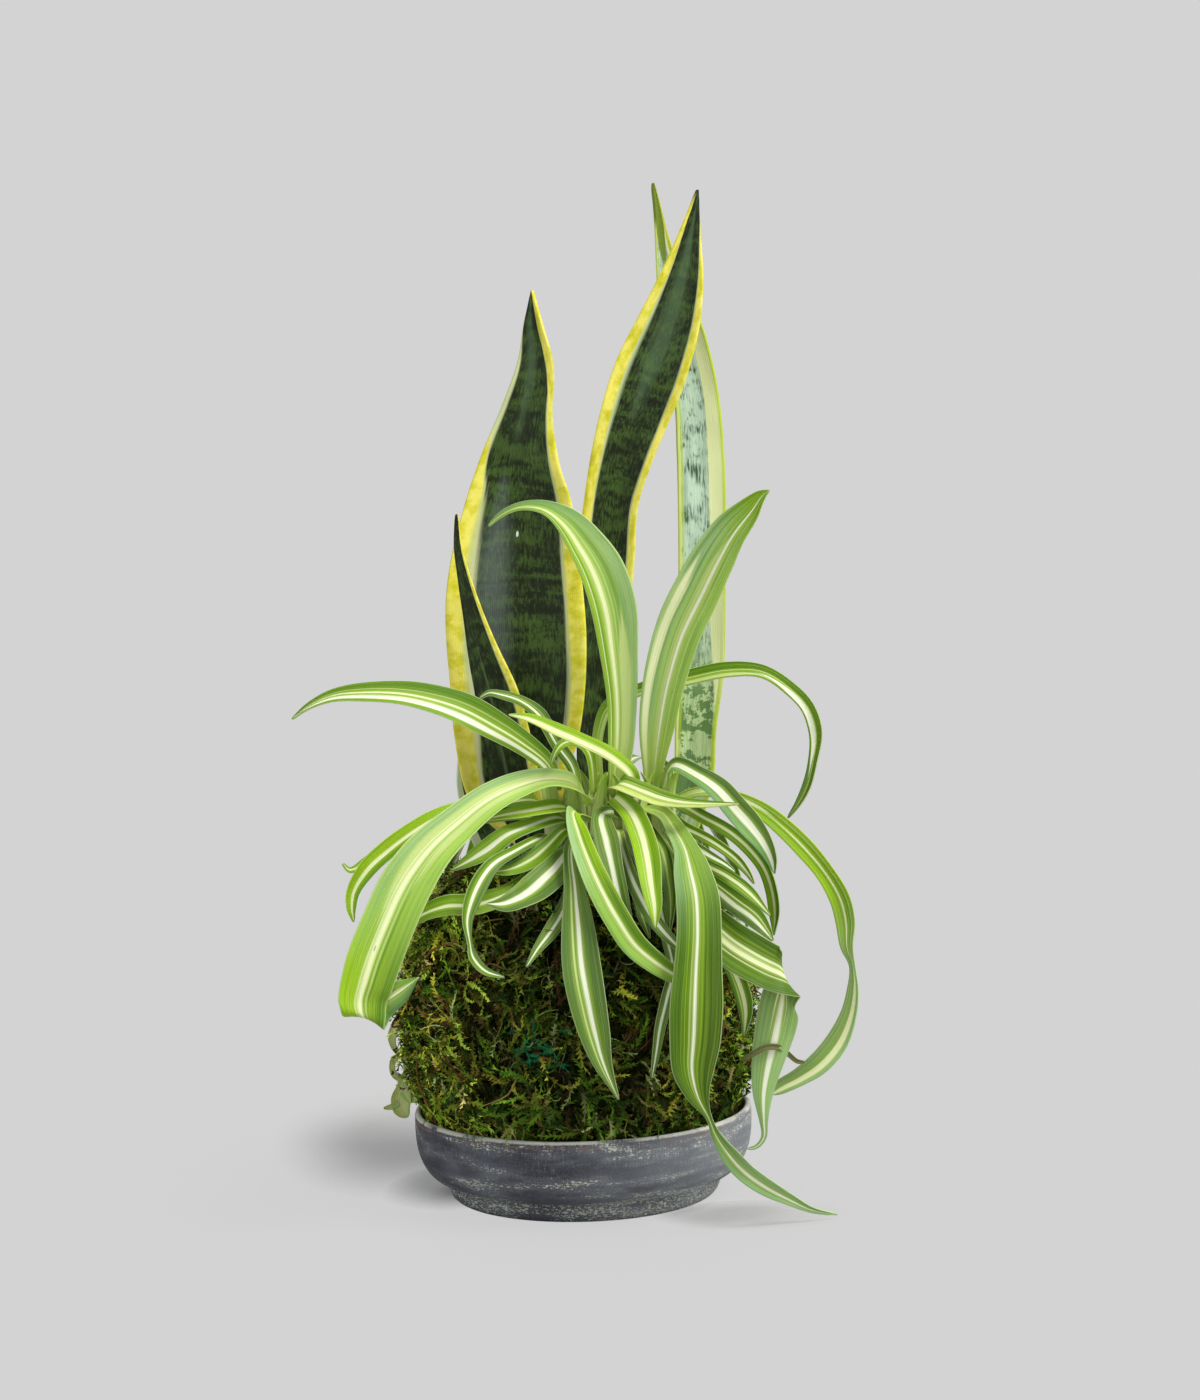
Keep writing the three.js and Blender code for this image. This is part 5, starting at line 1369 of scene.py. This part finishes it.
def take_shape(obj):
    """A small mesh's points and faces, and the object is removed."""
    points = np.array([vertex.co[:] for vertex in obj.data.vertices])
    faces = np.array([polygon.vertices[:] for polygon in obj.data.polygons])
    bpy.data.objects.remove(obj)
    return points, faces


deselect()
bpy.ops.mesh.primitive_ico_sphere_add(subdivisions=1, radius=1)
ball, crumb_faces = take_shape(bpy.context.active_object)
draw = np.random.default_rng(3)
lumps = np.array([ball * draw.uniform(0.65, 1.15, (len(ball), 1)) for _ in range(CRUMB_SHAPES)])
reach = MOUTH_RADIUS * np.sqrt(draw.uniform(0, 1, CRUMBS))
turn = draw.uniform(0, 2 * np.pi, CRUMBS)
roots = np.column_stack([BALL_X + reach * np.cos(turn), reach * np.sin(turn),
                         SOIL_TOP + draw.uniform(-0.2, 0.9, CRUMBS)])
spin = draw.uniform(0, 2 * np.pi, CRUMBS)
crumb_heap = copies(
    "soil_crumbs", lumps, crumb_faces, draw.integers(0, CRUMB_SHAPES, CRUMBS), roots,
    *level_ways(spin), np.tile(UPRIGHT, (CRUMBS, 1)), draw.uniform(0.7, 2.3, CRUMBS))
crumb_heap.data.materials.append(soil_finish)
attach(crumb_heap, "root")
print("crumbs:", CRUMBS)

# %% [markdown]
# ## Moss
# Sheet moss is a mat of tiny feathery shoots. Seen from a step away it is a tangle of curved
# strands, bright at their tips, with near-black gaps between them. One lumpy bed gives the
# ball its form, and its near-black colour is partly the dark of the mat and partly painted
# shade for the gaps. The shoots are what the eye sees: a feather is shaped from a narrow grid
# in a dozen variants and more, and thousands of copies lie over the bed. Their tint is a
# colour attribute, so each shoot has its own green, with painted light and shade, and darkens
# to its root.

# %% The ball's outline
# in millimetres: the saucer's floor, the wrap's thickness, and radius and height up the ball
BALL_REST = 8.35
MOSS_THICKNESS = 7
BALL_OUTLINE = np.array([
    (30, 8.35), (44, 8.35), (53, 12), (61, 20), (65.5, 29), (68, 38), (71, 45), (74.5, 54), (76, 66),
    (75.5, 80), (73.5, 94), (70.5, 108), (66.5, 120), (60.5, 131), (53, 140), (45, 146), (38, 149)])


def evenly(outline, count):
    """The outline read at even steps of its length, with its outward direction."""
    fine = along(outline, np.linspace(0, 1, 400))
    length = np.concatenate([[0], np.cumsum(np.linalg.norm(np.diff(fine, axis=0), axis=1))])
    steps = np.linspace(0, length[-1], count)
    points = np.column_stack([np.interp(steps, length, fine[:, k]) for k in (0, 1)])
    run = np.gradient(points, axis=0)
    return points, unit(np.column_stack([run[:, 1], -run[:, 0]]))


# the ball is pressed in at its left: height of the hollow, reach up and down, and depth
HOLLOW = (62, 14, 5.8)


def rise_between(values, low, high):
    """0 below low and 1 above high, as a smooth step."""
    share = np.clip((values - low) / (high - low), 0, 1)
    return share * share * (3 - 2 * share)


def tufts(turn, height):
    """How far the moss swells out, in millimetres, round the ball and up it."""
    low, reach, depth = HOLLOW
    columns = np.cos(turn * 17 + 1.2 * np.sin(height * 0.17))
    rows = np.cos(height * 0.43 + 1.4 * np.sin(turn * 4))
    lumps = np.sin(turn * 5 + height * 0.06) * np.sin(height * 0.11 - turn * 2)
    hollow = np.clip(-np.cos(turn), 0, 1) ** 4 * np.exp(-((height - low) / reach) ** 2)
    swelling = rise_between(height, 38, 50) * (2.1 * columns * rows + 1.2 * lumps)
    return swelling * (1 - hollow) - depth * hollow


BED_UNDERSIDE = 20
BED_SIDES = 160
BED_RINGS = 84
bed_rings, _ = evenly(BALL_OUTLINE, BED_RINGS)
inner_rings = BALL_OUTLINE[::-2] - (MOSS_THICKNESS, 0)
inner_rings[:, 1] = np.maximum(inner_rings[:, 1], BALL_REST + MOSS_THICKNESS)
moss_bed = new_disc("moss_bed", BED_SIDES, BED_UNDERSIDE, (0, 0, BALL_REST))
raise_rings(BED_UNDERSIDE, BALL_REST, [*map(tuple, bed_rings), *map(tuple, inner_rings)])


def swell(places):
    """Pushes the bed's outer side out into tufts, with a fine crumple on top."""
    x, y, z = places.T / MM
    turn, reach = np.arctan2(y, x), np.hypot(x, y)
    outline = np.interp(z, bed_rings[:, 1], bed_rings[:, 0])
    outside = np.clip((reach - outline + 3) / 3, 0, 1)
    crumple = np.array([noise.noise(Vector(spot) * 260) + 0.5 * noise.noise(Vector(spot) * 700)
                        for spot in places])
    shift = outside * (tufts(turn, z) - 1.2 + 1.6 * crumple * np.clip((z - 12) / 10, 0, 1))
    grow = 1 + shift / np.maximum(reach, 5)
    return np.column_stack([x * grow + BALL_X, y * grow, z]) * MM


reshape(moss_bed, swell)
bpy.ops.object.shade_smooth()
bed_painted_shade, shader = new_material("moss_bed_painted_shade", Specular_IOR_Level=0.1)
spot = place_on()
fibres = cloud(spot, 700, 5.0, 0.7)
# near-black: partly the mat's own dark colour and partly painted shade for the gaps between the shoots;
# brown patches over it
base = blend(between(fibres, 0.38, 0.68), "#0a0f03", "#26330a")
base = blend(between(cloud(spot, 55), 0.45, 0.7) * 0.6, base, "#2b1e0e")
finish_with(shader, base, 0.85 + fibres * 0.1, fibres, 0.001)
moss_bed.data.materials.append(bed_painted_shade)
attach(moss_bed, "root")
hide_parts("moss_wrap")
print("moss bed faces:", len(moss_bed.data.polygons))

# %% Shape one shoot and bend its variants
SHOOT_ROWS = 20
VARIANTS = 14
LEAFLET_SWEEP = 0.085
deselect()
bpy.ops.mesh.primitive_grid_add(x_subdivisions=2, y_subdivisions=SHOOT_ROWS, size=2)
flat_shoot, shoot_faces = take_shape(bpy.context.active_object)


def feather(points, leaflet, curl, seed):
    """A strip one unit long: every second row reaches out and forward as a pair of leaflets."""
    draw = np.random.default_rng(seed)
    side, t = points[:, 0], (points[:, 1] + 1) / 2
    row = np.rint(t * SHOOT_ROWS).astype(int)
    tip = (row % 2 == 1) & (side != 0)
    taper = np.sqrt(np.clip(1.1 - t, 0, 1)) * np.clip(t * 5 + 0.35, 0, 1)
    uneven = draw.uniform(0.6, 1.25, len(t))
    wide = np.where(row % 2 == 1, leaflet * uneven, 0.017) * taper
    lift = np.where(tip, draw.uniform(-0.7, 1.1, len(t)) * leaflet, 0)
    swing, hook = draw.uniform(-curl, curl), draw.uniform(-curl, curl)
    bend = swing * t + hook * t ** 3
    rise = draw.uniform(0, 0.9) * t - draw.uniform(0.3, 1.5) * t * t
    spine = {}
    spot = np.zeros(3)
    for number in range(SHOOT_ROWS + 1):
        spine[number] = spot.copy()
        at = row == number
        turn, pitch = bend[at][0], rise[at][0]
        onward = (math.sin(turn) * math.cos(pitch), math.cos(turn) * math.cos(pitch), math.sin(pitch))
        spot = spot + np.array(onward) / SHOOT_ROWS
    centre = np.array([spine[number] for number in row])
    sideways = np.column_stack([np.cos(bend), -np.sin(bend), np.zeros(len(t))])
    onward = np.column_stack([np.sin(bend), np.cos(bend), np.zeros(len(t))])
    return (centre + sideways * (side * wide)[:, None] + onward * np.where(tip, LEAFLET_SWEEP, 0)[:, None]
            + UPRIGHT * lift[:, None])


shoot_shapes = np.array([feather(flat_shoot, 0.085 + 0.015 * (seed % 3), 2.0, seed)
                         for seed in range(VARIANTS)])
wisp_shapes = np.array([feather(flat_shoot, 0.02, 3.0, 40 + seed) for seed in range(VARIANTS)])
shoot_length = (flat_shoot[:, 1] + 1) / 2
print("faces in a shoot:", len(shoot_faces), "variants:", VARIANTS)

# %% [markdown]
# Where the shoots go matters more than their form. They lie in tufts that each lean one way,
# with hollows between, and in layers: the deep ones and those in the hollows are painted
# dark, and the top ones painted bright, as painted shade and light. The mat ends inside the
# saucer's rim, so what would cross the wall is pressed in.

# %% Where shoots grow, and which way
MOSS_COLOURS = {
    "yellow": "#96952e", "lime": "#8da436", "green": "#5d7e1c", "deep": "#33500f", "pale": "#9aa866",
    "olive": "#717424", "brown": "#5e4322", "straw": "#a5985c", "blue": "#1f7f50",
}
COVER_STEPS = 300
# the room inside the saucer's rim, and the height above which moss may spread over it
RIM_INSIDE = 71.6
RIM_TOP = 40.5
cover_outline = np.vstack([BALL_OUTLINE[4:], [(30, 149.5), (16, 149.5), (1, 149.5)]])
cover_points, cover_out = evenly(cover_outline, COVER_STEPS)


def drift_field(places, scale, seed):
    """A slow wander between about -1 and 1 over the ball."""
    x, y, z = places.T * scale
    return (np.sin(x + 1.7 * np.sin(y * 0.9 + seed) + seed * 2.1) + np.sin(y * 1.2 + 1.3 * np.sin(z + seed))
            + np.sin(z * 1.1 + 1.5 * np.sin(x * 1.3 + seed * 0.7))) / 2.2


def plant_moss(count, seed, lowest, highest):
    """Roots on the ball, in layers from lowest to highest, the directions of each shoot, and the painted
    light and shade that each gets.
    """
    draw = np.random.default_rng(seed)
    # as many shoots to each patch of the ball, and fewer where the stems come out
    thinned = np.where(cover_points[:, 1] > 148.5, 0.4, 1)
    chance = np.cumsum(np.maximum(cover_points[:, 0], 4) * thinned)
    pick = np.searchsorted(chance / chance[-1], draw.uniform(0, 1, count))
    turn = draw.uniform(-np.pi, np.pi, count)
    reach, height = cover_points[pick].T
    out, rise = cover_out[pick].T
    radial, level = level_ways(turn)
    normal = radial * out[:, None] + UPRIGHT * rise[:, None]
    slope = unit(np.cross(normal, level))
    rest = radial * reach[:, None] + (BALL_X, 0, 0) + UPRIGHT * height[:, None]
    tuft = drift_field(rest, 0.27, 4)
    layer = draw.uniform(0, 1, count)
    # the tufts flatten out just below the soil
    swollen = tufts(turn, height) * np.clip((SOIL_TOP - height) / 6, 0, 1)
    roots = rest + normal * (swollen + lowest + (highest - lowest) * layer + 1.1 * tuft)[:, None]
    way = np.pi * drift_field(rest, 0.1, 2) + 1.2 * drift_field(rest, 0.4, 7) + draw.normal(0, 0.5, count)
    pitch = np.radians(draw.uniform(-6, 24, count) + 10 * layer)
    # on the left flank the shoots lie flatter
    pitch = pitch * (1 - 0.8 * rise_between(-np.cos(turn), 0.55, 0.9))
    ahead = (level * np.cos(way)[:, None] + slope * np.sin(way)[:, None]) * np.cos(pitch)[:, None]
    ahead = ahead + normal * np.sin(pitch)[:, None]
    # the shoots near the rim lean up and inwards
    low = np.clip((52 - height) / 12, 0, 1)[:, None]
    ahead = unit(ahead + (np.array([0, 0, 0.9]) - radial * 0.2) * low)
    roll = draw.normal(0, 0.55, count)[:, None]
    side = unit(np.cross(ahead, normal))
    up = np.cross(side, ahead)
    side, up = side * np.cos(roll) + up * np.sin(roll), up * np.cos(roll) - side * np.sin(roll)
    # painted shade: shoots in the hollows between the tufts stay dark, and those in the deep layers too
    light = (0.1 + 1.75 * layer ** 2) * (0.45 + 0.9 * rise_between(tuft, -0.6, 0.5))
    return draw, roots, side, ahead, up, light


def moss_tints(draw, roots, light, choices):
    """One colour for each shoot, drawn from weights that shift over the ball, times its painted light and
    shade.
    """
    names = list(choices)
    palette = np.array([colour(MOSS_COLOURS[name])[:3] for name in names])
    weights = np.tile(np.array(list(choices.values()), float), (len(roots), 1))
    sunny = rise_between(-roots[:, 0], 28, 66) + 0.55 * rise_between(roots[:, 0], 34, 60)
    sunny = np.clip(sunny + 0.35 * drift_field(roots, 0.07, 5), 0, 1.2)
    earthy = np.clip(drift_field(roots, 0.075, 9) + 0.25, 0, 1)
    grassy = rise_between(-roots[:, 2], -62, -46) + rise_between(roots[:, 0], 34, 60)
    for column, name in enumerate(names):
        if name in ("yellow", "lime"):
            weights[:, column] *= 0.3 + 2.1 * sunny
        if name in ("brown", "olive", "straw"):
            weights[:, column] *= 0.5 + 1.7 * earthy
        if name == "green":
            weights[:, column] *= 0.8 + grassy
    weights = np.cumsum(weights, axis=1)
    # neighbours draw nearly the same number, so that the colours come in patches
    patch = (0.5 * drift_field(roots, 0.5, 3) + 0.5 * drift_field(roots, 0.21, 8) + 1) * 1.7
    number = (patch + draw.normal(0, 0.13, len(roots))) % 1
    pick = np.minimum((number[:, None] * weights[:, -1:] > weights).sum(axis=1), len(names) - 1)
    # painted light: the shoots on the left flank, which the light from the right misses, are brightened,
    # and those in the sunny patches a little
    at_left = rise_between(-roots[:, 0], 30, 70)
    light = light * (0.85 + 0.3 * np.clip(sunny, 0, 1) + 0.75 * at_left)
    return palette[pick] * (light * draw.uniform(0.7, 1.25, len(roots)))[:, None]


def paint_copies(obj, tints, length, root_shade):
    """Writes the tint attribute: each copy's colour, darker towards its root as painted shade."""
    ramp = root_shade + (1 - root_shade) * np.clip(length * 1.2, 0, 1) ** 0.8
    values = np.ones((len(tints), len(length), 4))
    values[:, :, :3] = tints[:, None, :] * ramp[None, :, None]
    attribute = obj.data.color_attributes.new("tint", "FLOAT_COLOR", "POINT")
    attribute.data.foreach_set("color", values.ravel())


def press_inside_rim(places):
    """Moves points that lie low and too far out to the inner side of the rim."""
    x, y, z = places.T / MM
    reach = np.hypot(x, y)
    most = RIM_INSIDE + np.clip(z - RIM_TOP, 0, 4) * 0.4 + np.clip(z - RIM_TOP - 4, 0, 99) * 2
    pull = np.minimum(1, most / reach)
    return np.column_stack([x * pull, y * pull, np.maximum(z, BALL_REST)]) * MM


print("moss colours:", len(MOSS_COLOURS))

# %% Moss finish
moss_finish, shader = new_material("moss_shoots", Specular_IOR_Level=0.1)
tint = node("Attribute", {}, "Color", attribute_name="tint")
speckle = cloud(place_on(), 1500, roughness=0.6)
base = blend(speckle * 0.3, tint, "#11180a")
base = blend(between(speckle, 0.6, 0.75) * 0.2, base, "#b9cf5a")
finish_with(shader, base, 0.6 + speckle * 0.3, speckle, 0.0002)
print("moss finish nodes:", len(moss_finish.node_tree.nodes))

# %% Cover the ball
MOSS_PIECES = 6
SHOOTS_PER_PIECE = 2400
SHOOT_MIX = {"yellow": 1.2, "lime": 1.1, "green": 2.4, "deep": 1.8, "olive": 1.3, "brown": 0.7,
             "straw": 0.25, "pale": 0.5}


def lay_in_moss(obj, tints, length, root_shade):
    """Gives copies their tints and the moss's finish, and puts them on the plant."""
    paint_copies(obj, tints, length, root_shade)
    obj.data.materials.append(moss_finish)
    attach(obj, "root")


def grow_moss(name, shapes, count, mix, sizes, layers, root_shade, seed):
    """One piece of the mat. sizes are in millimetres, and layers say how deep the shoots start."""
    draw, roots, side, ahead, up, light = plant_moss(count, seed, *layers)
    scale = draw.uniform(*sizes, count)
    which = draw.integers(0, VARIANTS, count)
    made = copies(name, shapes, shoot_faces, which, roots, side, ahead, up, scale)
    reshape(made, press_inside_rim)
    lay_in_moss(made, moss_tints(draw, roots, light, mix), shoot_length, root_shade)
    return made


for number in range(1, MOSS_PIECES + 1):
    shoots = grow_moss(f"moss_shoots_{number}", shoot_shapes, SHOOTS_PER_PIECE, SHOOT_MIX, (9, 20),
                       (-3.6, 0.6), 0.35, number)
    print(shoots.name, "faces:", len(shoots.data.polygons))

# %% Bare wisps between the shoots
WISPS = 2400
WISP_MIX = {"yellow": 0.9, "lime": 1.0, "green": 1.0, "olive": 1.0, "brown": 1.0, "straw": 0.9, "pale": 2.0}
wisps = grow_moss("moss_wisps", wisp_shapes, WISPS, WISP_MIX, (8, 19), (-2.2, 1.0), 0.6, 31)
print(wisps.name, "faces:", len(wisps.data.polygons))

# %% [markdown]
# Some shoots are placed one by one: a tuft of blue-green ones in front, and sprigs that hang
# over the saucer's rim. Dry brown stems lie among the rest by the same rule as the shoots.
# A stem is a thin cylinder with a few rings, bent and knotted into variants.

# %% Listed tuft and sprigs, and dry stems
# degrees round the ball from the right, height, heading, tilt outwards in degrees, length, tint
HAND_PLACED = [
    (254, 82, (1, 0.05, 0.1), 12, 15, "blue"), (252, 79, (1, 0, -0.1), 10, 16, "blue"),
    (258, 80, (0.9, 0, 0.25), 14, 13, "blue"), (253, 73, (1, 0, 0.15), 12, 15, "blue"),
    (260, 76, (0.9, 0, -0.3), 8, 14, "blue"), (263, 86, (0.9, 0, 0.2), 10, 11, "blue"),
    (249, 85, (0.8, 0, 0.5), 10, 12, "blue"), (257, 69, (0.9, 0, 0), 10, 12, "blue"),
    (255, 84, (0.9, 0, 0.6), 16, 11, "blue"), (261, 71, (0.9, 0, 0.3), 16, 12, "blue"),
    (252, 76, (0.9, 0, 0.35), 18, 12, "blue"), (256, 77, (0.9, 0, -0.15), 20, 12, "blue"),
    (259, 74, (0.9, 0, 0.2), 18, 11, "blue"), (254, 80, (0.9, 0, -0.35), 20, 11, "blue"),
    (257, 84, (0.8, 0, 0.1), 18, 10, "blue"), (251, 71, (0.8, 0, 0.4), 18, 10, "blue"),
    (233, 43, (-0.1, -0.35, -0.9), 30, 11, "olive"), (235, 43, (0.1, -0.35, -0.9), 35, 9, "green"),
    (299, 43, (-0.2, -0.3, -0.8), 30, 8, "green"), (247, 42, (0.2, -0.4, -0.5), 30, 8, "lime"),
    (278, 43, (0.5, -0.4, -0.4), 30, 7, "lime"), (211, 44, (-0.4, -0.2, -0.4), 30, 9, "yellow"),
    (313, 43, (0.3, -0.3, -0.5), 30, 8, "green"), (30, 43, (0.5, 0.3, -0.6), 30, 9, "green"),
    (123, 43, (-0.3, 0.5, -0.6), 30, 9, "olive"), (80, 43, (0.1, 0.5, -0.7), 30, 8, "lime"),
]
SPRIGS_PROUD = 2.8


def on_the_ball(degrees, height, proud):
    """Places and outward directions round the ball, proud of the bed by some millimetres."""
    turn = np.radians(degrees)
    # below its shoulder the outline rises all the way, so a height is found in it by search
    row = np.searchsorted(cover_points[:200, 1], height)
    out, _ = level_ways(turn)
    reach = cover_points[row, 0] + tufts(turn, height) + proud
    return out * reach[:, None] + (BALL_X, 0, 0) + UPRIGHT * height[:, None], out


degrees, heights, headings, tilts, lengths, tints = (np.array(column) for column in zip(*HAND_PLACED))
roots, outward = on_the_ball(degrees, heights.astype(float), SPRIGS_PROUD)
ahead = unit(unit(headings.astype(float)) + outward * np.tan(np.radians(tilts))[:, None])
side = unit(np.cross(ahead, outward))
sprigs = copies("hand_placed_sprigs", shoot_shapes, shoot_faces, np.arange(len(roots)) % VARIANTS, roots,
                side, ahead, np.cross(side, ahead), lengths.astype(float))
sprig_tints = np.array([colour(MOSS_COLOURS[name])[:3] for name in tints])
lay_in_moss(sprigs, sprig_tints, shoot_length, 0.6)

deselect()
bpy.ops.mesh.primitive_cylinder_add(vertices=5, radius=0.024, depth=1, end_fill_type="NOTHING")
straw = bpy.context.active_object
bpy.ops.object.mode_set(mode="EDIT")
bpy.ops.mesh.select_all(action="DESELECT")
bpy.ops.object.mode_set(mode="OBJECT")
for edge in straw.data.edges:
    low, high = (straw.data.vertices[end].co.z for end in edge.vertices)
    edge.select = abs(low - high) > 0.5
bpy.ops.object.mode_set(mode="EDIT")
bpy.ops.mesh.subdivide(number_cuts=5)
bpy.ops.object.mode_set(mode="OBJECT")
straight, stem_faces = take_shape(straw)


def dry_stem(points, seed):
    """The cylinder laid along y, bent, knotted and drawn thin to its tip."""
    draw = np.random.default_rng(seed)
    t = points[:, 2] + 0.5
    thick = (1.15 - 0.75 * t) * (1 + 0.35 * np.sin(t * draw.uniform(9, 16) + draw.uniform(0, 6)))
    sway = draw.uniform(-0.22, 0.22) * np.sin(t * math.pi) + draw.uniform(-0.06, 0.06) * np.sin(t * 9)
    arch = draw.uniform(0, 0.14) * np.sin(t * math.pi)
    return np.column_stack([points[:, 0] * thick + sway, t, points[:, 1] * thick + arch])


STEMS_IN_MOSS = 80
stem_shapes = np.array([dry_stem(straight, 60 + seed) for seed in range(VARIANTS)])
draw, roots, side, ahead, up, light = plant_moss(STEMS_IN_MOSS, 77, 0.2, 1.6)
which = draw.integers(0, VARIANTS, STEMS_IN_MOSS)
dry = copies("dry_stems", stem_shapes, stem_faces, which, roots, side, ahead, up,
             draw.uniform(9, 26, STEMS_IN_MOSS))
reshape(dry, press_inside_rim)
stem_tints = np.array([colour(code)[:3] for code in ("#6f4526", "#8a5a34", "#4f3319", "#a98a5a")])
stem_tints = stem_tints[draw.integers(0, 4, STEMS_IN_MOSS)] * draw.uniform(0.5, 1.1, (STEMS_IN_MOSS, 1))
lay_in_moss(dry, stem_tints, straight[:, 2] + 0.5, 0.8)
print("sprigs:", len(HAND_PLACED), "dry stems:", STEMS_IN_MOSS)
